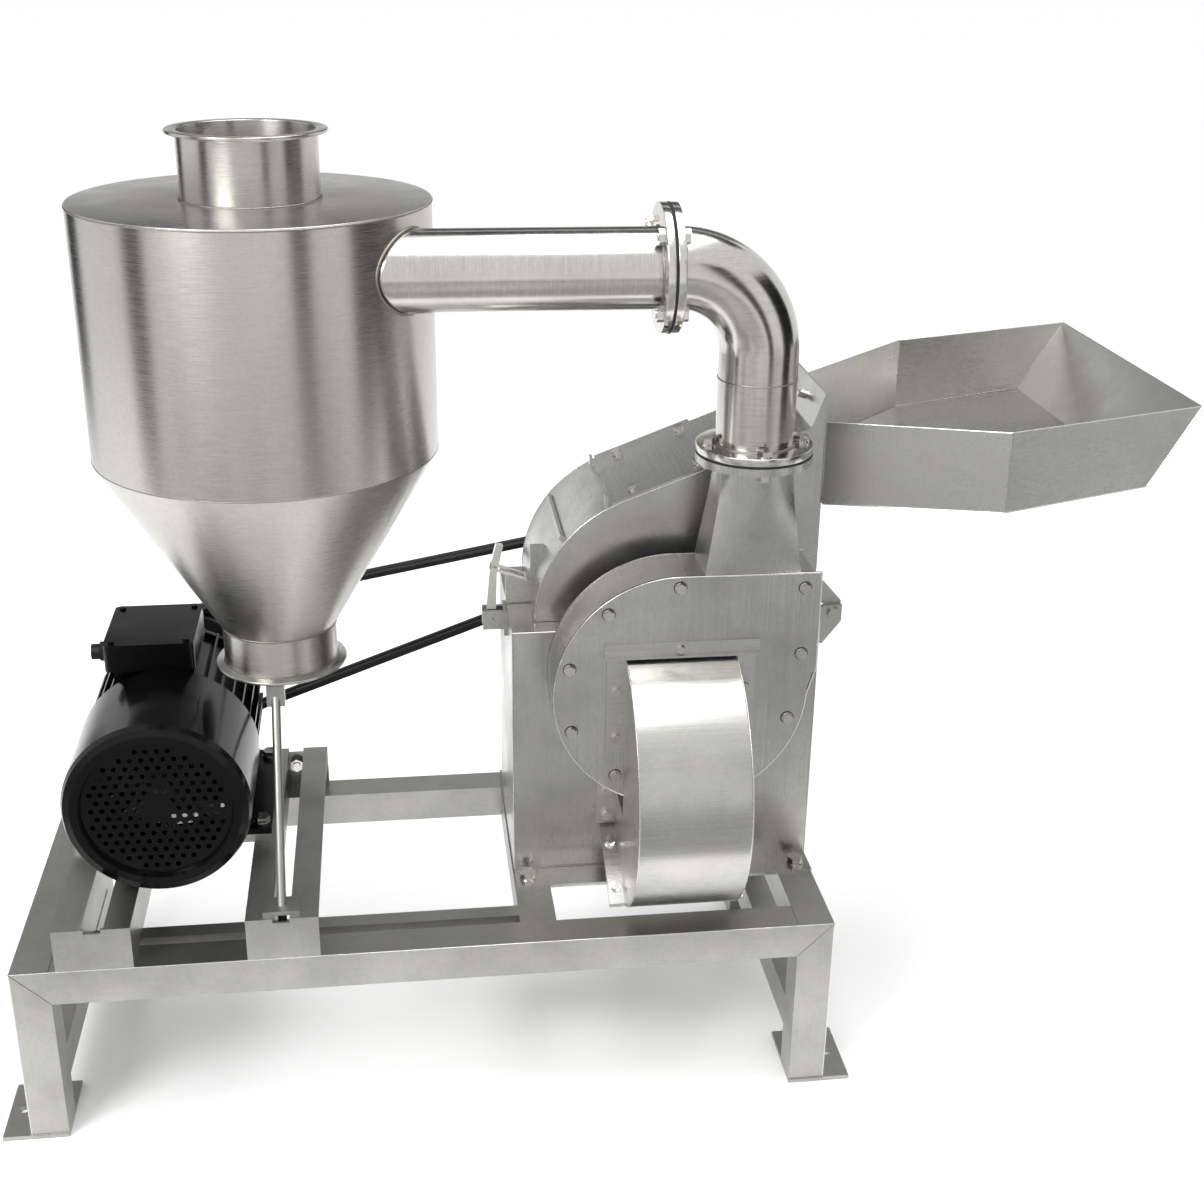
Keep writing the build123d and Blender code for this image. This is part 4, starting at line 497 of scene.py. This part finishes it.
class BuildPipes(bpy.types.Operator):
    """Riser, bend and level pipe with their flanges and weld beads"""
    bl_idname = "mill.build_pipes"
    bl_label = "Build pipes"

    def level_pipe(self, context):
        """Round pipe whose far end follows the barrel: x = cx + sqrt(R2 - (y - cy)2)."""
        p, c = context.scene.mill_pipe, context.scene.mill_cyclone
        t = np.linspace(0, 2 * np.pi, 128, endpoint=False)
        end = p.flange_x + p.flange_thick
        rings = []
        for r in (p.radius, p.radius - p.wall):
            y, z = p.y + r * np.cos(t), p.level + r * np.sin(t)
            meet = c.x + np.sqrt(c.radius ** 2 - (y - c.y) ** 2) - 1.0
            share = np.linspace(0, 1, 40)[:, None]
            x = meet * (1 - share) + end * share
            ring = np.stack([x, np.broadcast_to(y, x.shape), np.broadcast_to(z, x.shape)], -1)
            rings.append(ring if r == p.radius else ring[::-1])
        points = np.concatenate(rings)
        place(grid_mesh("level_pipe", points, wrap_u=True, wrap_v=True), "stand",
              FINISHES["pipe_x"], ["inlet_pipe"])
        t = np.linspace(0, 2 * np.pi, 480, endpoint=False)
        y, z = p.y + (p.radius + 0.5) * np.cos(t), p.level + (p.radius + 0.5) * np.sin(t)
        x = c.x + np.sqrt(c.radius ** 2 - (y - c.y) ** 2) + 0.6
        place(tube("weld_saddle", np.stack([x, y, z], 1), 2.0, ripple=WELD_RIPPLE, closed=True),
              "stand", FINISHES["weld"])

    def bend_path(self, context):
        """Centre line: straight up, a quarter circle towards -X, then level."""
        p = context.scene.mill_pipe
        turn_z, turn_x = p.level - p.bend, p.x - p.bend
        up = np.linspace(p.low, turn_z, 24, endpoint=False)
        rise = np.stack([np.full(24, p.x), np.full(24, p.y), up], 1)
        a = np.linspace(0, np.pi / 2, 72)
        arc = np.stack([turn_x + p.bend * np.cos(a), np.full(72, p.y),
                        turn_z + p.bend * np.sin(a)], 1)
        last = p.flange_x + p.flange_thick + p.gasket
        level = np.stack([np.linspace(turn_x, last, 8)[1:], np.full(7, p.y),
                          np.full(7, p.level)], 1)
        return np.concatenate([rise, arc, level])

    def swept(self, name, path, radii):
        """Round sections about a path in an upright plane; the frame is (tangent x Y, Y)."""
        ahead = np.gradient(path, axis=0)
        ahead /= np.linalg.norm(ahead, axis=1, keepdims=True)
        across = np.cross(ahead, [[0, 1.0, 0]])
        t = np.linspace(0, 2 * np.pi, 128, endpoint=False)
        layers = []
        for radius, flip in radii:
            ring = (across[:, None] * np.cos(t)[None, :, None]
                    + np.array([0, 1.0, 0]) * np.sin(t)[None, :, None]) * radius
            layer = path[:, None] + ring
            layers.append(layer[::-1] if flip else layer)
        return grid_mesh(name, np.concatenate(layers), wrap_u=True, wrap_v=True)

    def execute(self, context):
        p = context.scene.mill_pipe
        self.level_pipe(context)
        path = self.bend_path(context)
        skins = ((p.radius, False), (p.radius - p.wall, True))
        place(self.swept("bend_pipe", path, skins), "stand", FINISHES["pipe_z"],
              ["elbow"])
        f = p.flange_thick
        for name, axis, outer, centre in (
            ("riser_flange", "Z", RISER_FLANGE_RADIUS, (p.x, p.y, p.low)),
            ("bend_flange", "X", FLANGE_RADIUS, (p.flange_x + f + p.gasket, p.y, p.level)),
            ("level_flange", "X", FLANGE_RADIUS, (p.flange_x, p.y, p.level)),
        ):
            ring = rounded([(p.radius - 1, 0), (outer, 0), (outer, f), (p.radius - 1, f),
                            (p.radius - 1, 0)], 1.2)
            place(lathe(name, ring, centre, axis, 128), "stand", FINISHES["bolt"])
        for name, axis, centre in (
            ("weld_riser_flange", "Z", (p.x, p.y, p.low + f)),
            ("weld_riser_seam", "Z", (p.x, p.y, RISER_SEAM_Z)),
            ("weld_bend_flange", "X", (p.flange_x + 2 * f + p.gasket, p.y, p.level)),
            ("weld_level_flange", "X", (p.flange_x, p.y, p.level)),
        ):
            size = 0.9 if name == "weld_riser_seam" else 1.8
            path = circle_path(p.radius + 0.2, centre, axis, 460)
            place(tube(name, path, size, ripple=WELD_RIPPLE, closed=True, count=8), "stand",
                  FINISHES["weld"])
        return {"FINISHED"}


class BuildDuct(bpy.types.Operator):
    """Smooth rolled band over the facets of the duct, with a fillet weld along each edge whose
    lighter colour paints a highlight
    """
    bl_idname = "mill.build_duct"
    bl_label = "Build duct band"

    def execute(self, context):
        p = context.scene.mill_duct
        front = math.acos((p.front - p.y) / p.radius)
        angle = np.linspace(front, 1.5 * math.pi, 180)
        inward = np.array([0, 0, 0.1, 2.0])
        x = np.concatenate([p.x0 + inward, p.x1 - inward[::-1]])
        out = p.radius + np.array([0.05, 0.35, 0.45, 0.45, 0.45, 0.45, 0.35, 0.05])
        points = np.stack([
            np.broadcast_to(x, (180, 8)), p.y + np.cos(angle)[:, None] * out,
            p.z + np.sin(angle)[:, None] * out], -1)
        place(grid_mesh("duct_band", points, wrap_v=True), "stand", FINISHES["band"])
        for name, x in (("weld_duct_left", p.x0), ("weld_duct_right", p.x1)):
            turn = np.linspace(front, 1.5 * math.pi, 900)
            path = np.stack([np.full(900, x), p.y + p.radius * np.cos(turn),
                             p.z + p.radius * np.sin(turn)], 1)
            place(tube(name, path, 0.9, ripple=0.10, count=8), "stand", FINISHES["edge_highlight"])
        return {"FINISHED"}


class BuildSeams(bpy.types.Operator):
    """Thin round beads along folded edges and welded joints, each a polyline of its own"""
    bl_idname = "mill.build_seams"
    bl_label = "Build seams"

    def bead(self, name, corners, size, body, finish, ripple=0.0):
        """Tube about straight runs between corners, sampled every 1.5 mm."""
        corners = np.asarray(corners, float)
        runs = []
        for a, b in zip(corners[:-1], corners[1:]):
            count = max(4, int(np.linalg.norm(b - a) / 1.5))
            runs.append(a + (b - a) * np.linspace(0, 1, count, endpoint=False)[:, None])
        path = np.concatenate([*runs, corners[-1:]])
        place(tube(name, path, size, ripple=ripple, count=8), body, FINISHES[finish])

    def tray(self, context):
        """Folds, rims and inner corner welds of the feed tray, folds and rims with a painted
        highlight; u runs outwards from the hood.
        """
        p = context.scene.mill_tray

        def half(u):
            return np.interp(u, [0, TRAY_WIDE, TRAY_RIM_END], TRAY_HALF_WIDTHS)

        for side in (-1, 1):
            low = [(p.x + u, p.y + side * half(u), z) for u, z in TRAY_FOLD]
            self.bead(f"tray_fold_{side}", low, 1.0, "hood_door", "edge_highlight")
            rim = [(p.x + u, p.y + side * (half(u) - 1), z - 0.6)
                   for u, z in TRAY_RIM]
            self.bead(f"tray_rim_{side}", rim, 1.15, "hood_door", "edge_highlight")
            x, y = p.x + TRAY_WIDE, p.y + side * (half(TRAY_WIDE) - 0.3)
            self.bead(f"tray_corner_{side}", [(x, y, 833.0), (x, y, 940.6)], 1.0,
                      "hood_door", "edge_highlight")
            inner = [(p.x + u, p.y + side * (half(u) - 2.4), z)
                     for u, z in TRAY_INNER]
            self.bead(f"tray_inner_{side}", inner, 1.1, "hood_door", "weld", 0.08)
        reach = half(TRAY_RIM_END) - 1
        for name, u, z, short, size in (("tray_rim_end", 461, 966.4, 0, 1.15),
                                        ("tray_fold_end", TRAY_FLOOR_END, 860.2, 0, 1.0),
                                        ("tray_inner_end", 398.3, 862.9, 4, 0.9)):
            ends = [(p.x + u, p.y - reach + short, z), (p.x + u, p.y + reach - short, z)]
            self.bead(name, ends, size, "hood_door", "edge_highlight")

    def arc(self, x, z, radius, start, stop, y, count=120):
        """Points of an arc in an upright plane at one y, angles in degrees from +X."""
        a = np.radians(np.linspace(start, stop, count))
        return [(x + radius * math.cos(v), y, z + radius * math.sin(v)) for v in a]

    def casing(self):
        """Edge of the cover sheet, with a painted highlight, and the joints of the casing, all
        round the volute outline.
        """
        for name, y, size, finish in (("cover_rim", -144.6, 1.1, "edge_highlight"),
                                      ("cover_joint", -141.2, 0.7, "joint_and_shadow_line"),
                                      ("casing_joint", -60.4, 1.2, "weld")):
            outline = self.arc(VOLUTE_X, VOLUTE_Z, VOLUTE_RADIUS, 90, 270, y)
            outline += self.arc(VOLUTE_RIGHT_X, VOLUTE_Z, VOLUTE_RADIUS, 270, 357, y)
            outline += [(VOLUTE_SIDE_X, y, VOLUTE_Z + 30), (VOLUTE_SIDE_X, y, VOLUTE_TOP_Z),
                        (VOLUTE_X, y, VOLUTE_TOP_Z)]
            self.bead(name, outline, size, "stand", finish)

    def bolt_shadow_rings(self):
        """Thin dark ring round each cover bolt where it meets the sheet: a painted contact shadow.
        """
        for number, (x, z) in enumerate(COVER_BOLTS):
            ring = self.arc(x, z, BOLT_SHADOW_RADIUS, 0, 360, COVER_FACE_Y, 48)
            self.bead(f"bolt_shadow_{number}", ring, 0.7, "stand", "joint_and_shadow_line")

    def stand_edges(self):
        """Bright edges, mitre welds and foot welds on the front of the stand."""
        near, top = -STAND_EDGE + 0.4, STAND_TOP
        self.bead("rail_edge_front",
                  [(-STAND_HALF, near, top - 0.4), (STAND_HALF, near, top - 0.4)],
                  0.8, "stand", "edge_highlight")
        for side in (-1, 1):
            x, inner = side * STAND_HALF, side * (STAND_HALF - TUBE)
            outer = x - side * 0.4
            self.bead(f"mitre_{side}", [(x, -STAND_EDGE, top), (inner, -STAND_EDGE, top - TUBE)],
                      0.6, "stand", "weld", 0.06)
            self.bead(f"leg_edge_outer_{side}", [(outer, near, FOOT_TOP), (outer, near, top)],
                      0.8, "stand", "edge_highlight")
            y, z = -STAND_EDGE - 0.2, FOOT_TOP + 0.2
            self.bead(f"leg_foot_weld_{side}", [(inner, y, z), (x, y, z)], 1.4, "stand", "weld",
                      0.1)
            z = top + 0.1
            self.bead(f"rail_seam_{side}",
                      [(inner, -STAND_EDGE + 1, z), (inner, -STAND_EDGE + TUBE, z)], 0.5,
                      "stand", "weld")

    def mill_edges(self):
        """Upright edges of the lower housing and its top edge, with a painted highlight, and the
        weld along its foot.
        """
        y, top = MILL_FRONT + 0.3, SHAFT_Z - 0.3
        left = MILL_LEFT + 0.3
        for name, x in (("mill_edge_left", left), ("mill_edge_right", MILL_RIGHT - 0.3)):
            self.bead(name, [(x, y, 272), (x, y, SHAFT_Z - 0.4)], 1.0, "stand", "edge_highlight")
        self.bead("mill_edge_top", [(left, y, top), (216, y, top)], 1.0, "stand", "edge_highlight")
        y = MILL_FRONT - 0.6
        self.bead("mill_foot_weld", [(MILL_LEFT, y, 271.4), (262, y, 271.4)], 1.2, "stand",
                  "weld", 0.1)

    def hood_edges(self):
        """Bright edge round the arc of the hood's two side walls and up its slope."""
        slope = math.tan(math.radians(HOOD_SLOPE))
        for name, y in (("hood_edge_front", -23.7), ("hood_edge_back", 186.7)):
            path = self.arc(SHAFT_X, SHAFT_Z, HOOD_RADIUS, 179, 90 + HOOD_SLOPE, y)
            x, _, z = path[-1]
            path.append((HOOD_EDGE_X, y, z + (HOOD_EDGE_X - x) * slope))
            self.bead(name, path, 1.0, "hood_door", "edge_highlight")

    def execute(self, context):
        self.tray(context)
        self.casing()
        self.bolt_shadow_rings()
        self.stand_edges()
        self.mill_edges()
        self.hood_edges()
        return {"FINISHED"}


class BuildBelts(bpy.types.Operator):
    """Two tapered belts round the tangent lines of both pulleys"""
    bl_idname = "mill.build_belts"
    bl_label = "Build belts"

    def execute(self, context):
        p = context.scene.mill_belt
        span = math.hypot(p.mill_x - p.motor_x, p.mill_z - p.motor_z)
        line = math.atan2(p.mill_z - p.motor_z, p.mill_x - p.motor_x)
        turn = math.acos((p.motor_radius - p.mill_radius) / span)
        a = np.linspace(line + turn, line + 2 * math.pi - turn, 140)
        b = np.linspace(line - turn, line + turn, 60)
        angle = np.concatenate([a, b])
        x0 = np.concatenate([np.full(140, p.motor_x), np.full(60, p.mill_x)])
        z0 = np.concatenate([np.full(140, p.motor_z), np.full(60, p.mill_z)])
        size = np.concatenate([np.full(140, p.motor_radius), np.full(60, p.mill_radius)])
        section = rounded([(0, -5.5), (0, -6.4), (-p.high, -4.2), (-p.high, 4.2), (0, 6.4),
                           (0, -5.5)], 0.8, 3)
        for number, y in enumerate(BELT_ROWS):
            r = size[:, None] + section[None, :, 0]
            points = np.stack([
                x0[:, None] + r * np.cos(angle)[:, None],
                np.broadcast_to(y + section[None, :, 1], r.shape),
                z0[:, None] + r * np.sin(angle)[:, None]], -1)
            mesh = grid_mesh(f"belt_{number + 1}", points, wrap_u=True, wrap_v=True)
            replaced = ["v_belts"] if number == 0 else []
            place(mesh, "stand", FINISHES["rubber"], replaced)
        return {"FINISHED"}


# name, size, centre, point faced (all in metres) and power in watts
LAMPS = (
    ("key", (1.6, 1.6), (-2.4, -2.6, 3.2), (0, 0, 0.6), 95),
    ("top", (3.0, 1.4), (0.5, -0.2, 3.6), (0, 0, 0.6), 70),
)

# name, size, centre, point faced (all in metres), colour and share of cloudy variation
CARDS = (
    ("dark_left", (0.8, 3.2), (-3.0, -0.9, 1.2), (0, 0, 0.9), "1A1A1A", 0.0),
    ("dark_right", (0.8, 3.2), (1.8, -3.3, 1.1), (0, 0, 0.9), "262626", 0.0),
    ("dark_far_right", (2.2, 3.0), (3.2, -0.5, 1.2), (0, 0, 0.9), "1C1C1C", 0.0),
    ("dark_back_left", (1.3, 3.0), (-2.6, 2.6, 1.2), (0, 0, 0.9), "2A2A2A", 0.0),
    ("dark_ceiling", (4.5, 1.0), (0.2, 1.6, 3.2), (0, 0, 0.9), "3A3A3A", 0.0),
    ("dark_back", (3.8, 1.3), (0.2, 2.8, 2.4), (0, 0, 0.9), "5A5A5A", 0.3),
    ("grey_front", (9.0, 5.6), (0.0, -3.4, 0.003), (0.0, -3.41, 3.0), "D0D0D0", 0.5),
)


class BuildStage(bpy.types.Operator):
    """Pale floor, soft lights, dark cards for the metal to reflect, and the camera"""
    bl_idname = "mill.build_stage"
    bl_label = "Build stage"

    def card(self, name, size, centre, look, colour, vary):
        """Flat card facing a point, seen only in reflections."""
        w, h = size[0] / 2, size[1] / 2
        mesh = bpy.data.meshes.new(name)
        mesh.from_pydata([(-w, -h, 0), (w, -h, 0), (w, h, 0), (-w, h, 0)], [], [(0, 1, 2, 3)])
        card = bpy.data.objects.new(name, mesh)
        bpy.context.scene.collection.objects.link(card)
        towards = np.asarray(look, float) - np.asarray(centre, float)
        card.location = centre
        card.rotation_euler = Matrix(facing(towards)).to_euler()
        material, tree = blank(name)
        cloud = add(tree, "ShaderNodeTexNoise", {
            "Vector": scaled(tree, (0.9,) * 3).outputs[0], "Scale": 1.0, "Detail": 1.0})
        strength = grey(tree, cloud.outputs[0], 0.3, 0.7, 1.0 - vary, 1.0 + vary)
        glow = add(tree, "ShaderNodeEmission", {
            "Color": linear(colour), "Strength": strength.outputs[0]})
        add(tree, "ShaderNodeOutputMaterial", {"Surface": glow.outputs[0]})
        mesh.materials.append(material)
        card.visible_camera = False
        card.visible_shadow = False
        card.visible_diffuse = False

    def light(self, name, size, centre, look, power):
        """Rectangular area lamp facing a point."""
        data = bpy.data.lights.new(name, "AREA")
        data.shape = "RECTANGLE"
        data.size, data.size_y = size
        data.energy = power
        lamp = bpy.data.objects.new(name, data)
        bpy.context.scene.collection.objects.link(lamp)
        towards = np.asarray(look, float) - np.asarray(centre, float)
        lamp.location = centre
        lamp.rotation_euler = Matrix(facing(-towards)).to_euler()

    def floor(self):
        """Wide pale plane just under the feet."""
        mesh = bpy.data.meshes.new("floor")
        mesh.from_pydata([(-30, -30, 0), (30, -30, 0), (30, 60, 0), (-30, 60, 0)], [],
                         [(0, 1, 2, 3)])
        floor = bpy.data.objects.new("floor", mesh)
        floor.location = (0, 0, -0.0005)
        bpy.context.scene.collection.objects.link(floor)
        material, tree = blank("pale studio floor")
        surface = add(tree, "ShaderNodeBsdfPrincipled", {
            "Base Color": linear("FFFFFF"), "Roughness": 0.9, "Specular IOR Level": 0.1})
        add(tree, "ShaderNodeOutputMaterial", {"Surface": surface.outputs[0]})
        mesh.materials.append(material)

    def camera(self, context):
        """Camera solved from the photograph, set from its angles in degrees."""
        s = context.scene.mill_stage
        yaw, pitch, roll = (math.radians(v) for v in (s.yaw, s.pitch, s.roll))
        ahead = np.array([math.sin(yaw) * math.cos(pitch), math.cos(yaw) * math.cos(pitch),
                          -math.sin(pitch)])
        right = np.array([math.cos(yaw), -math.sin(yaw), 0])
        down = np.cross(ahead, right)
        right2 = math.cos(roll) * right + math.sin(roll) * down
        down2 = -math.sin(roll) * right + math.cos(roll) * down
        data = bpy.data.cameras.new("camera")
        data.lens, data.sensor_width, data.clip_start, data.clip_end = s.lens, 36.0, 0.05, 200
        camera = bpy.data.objects.new("camera", data)
        matrix = Matrix.Identity(4)
        for row in range(3):
            matrix[row][0], matrix[row][1] = right2[row], -down2[row]
            matrix[row][2] = -ahead[row]
            matrix[row][3] = (s.camera_x, s.camera_y, s.camera_z)[row] * MM
        camera.matrix_world = matrix
        context.scene.collection.objects.link(camera)
        context.scene.camera = camera

    def execute(self, context):
        world = bpy.data.worlds.new("soft surround")
        context.scene.world = world
        world.use_nodes = True
        world.node_tree.nodes.clear()
        sky = add(world.node_tree, "ShaderNodeBackground", {
            "Color": linear("FFFFFF"), "Strength": 1.0})
        add(world.node_tree, "ShaderNodeOutputWorld", {"Surface": sky.outputs[0]})
        self.floor()
        for lamp in LAMPS:
            self.light(*lamp)
        for card in CARDS:
            self.card(*card)
        self.camera(context)
        scene = context.scene
        scene.view_settings.view_transform = "Standard"
        scene.view_settings.look = "None"
        scene.view_settings.exposure = 0.0
        return {"FINISHED"}


def facing(normal):
    """Rows of a rotation whose third column points along a direction."""
    n = np.asarray(normal, float)
    n = n / np.linalg.norm(n)
    side = np.cross([0, 0, 1.0], n)
    side /= np.linalg.norm(side)
    up = np.cross(n, side)
    return np.stack([side, up, n], axis=1).tolist()


class MillPanel(bpy.types.Panel):
    """Buttons for the hammer mill"""
    bl_idname = "VIEW3D_PT_hammer_mill"
    bl_label = "Hammer mill"
    bl_space_type = "VIEW_3D"
    bl_region_type = "UI"
    bl_category = "Hammer mill"

    def draw(self, context):
        for operator in OPERATORS:
            self.layout.operator(operator.bl_idname)


SETTINGS = {
    "mill_cyclone": CycloneSettings,
    "mill_pipe": PipeSettings,
    "mill_belt": BeltSettings,
    "mill_duct": DuctSettings,
    "mill_tray": TraySettings,
    "mill_stage": StageSettings,
}
OPERATORS = (FinishCadNodes, BuildCyclone, BuildPipes, BuildDuct, BuildSeams, BuildBelts,
             BuildStage)


def register():
    for kind in (*SETTINGS.values(), *OPERATORS, MillPanel):
        bpy.utils.register_class(kind)
    for name, kind in SETTINGS.items():
        setattr(bpy.types.Scene, name, bpy.props.PointerProperty(type=kind))


def unregister():
    for name in SETTINGS:
        delattr(bpy.types.Scene, name)
    for kind in (MillPanel, *reversed(OPERATORS), *SETTINGS.values()):
        bpy.utils.unregister_class(kind)


def corners(box):
    return [[round(v, 6) for v in corner] for corner in box]


def main():
    register()
    FINISHES.update(make_materials())
    for operator in OPERATORS:
        group, name = operator.bl_idname.split(".")
        getattr(getattr(bpy.ops, group), name)()


if __name__ == "__main__":
    main()
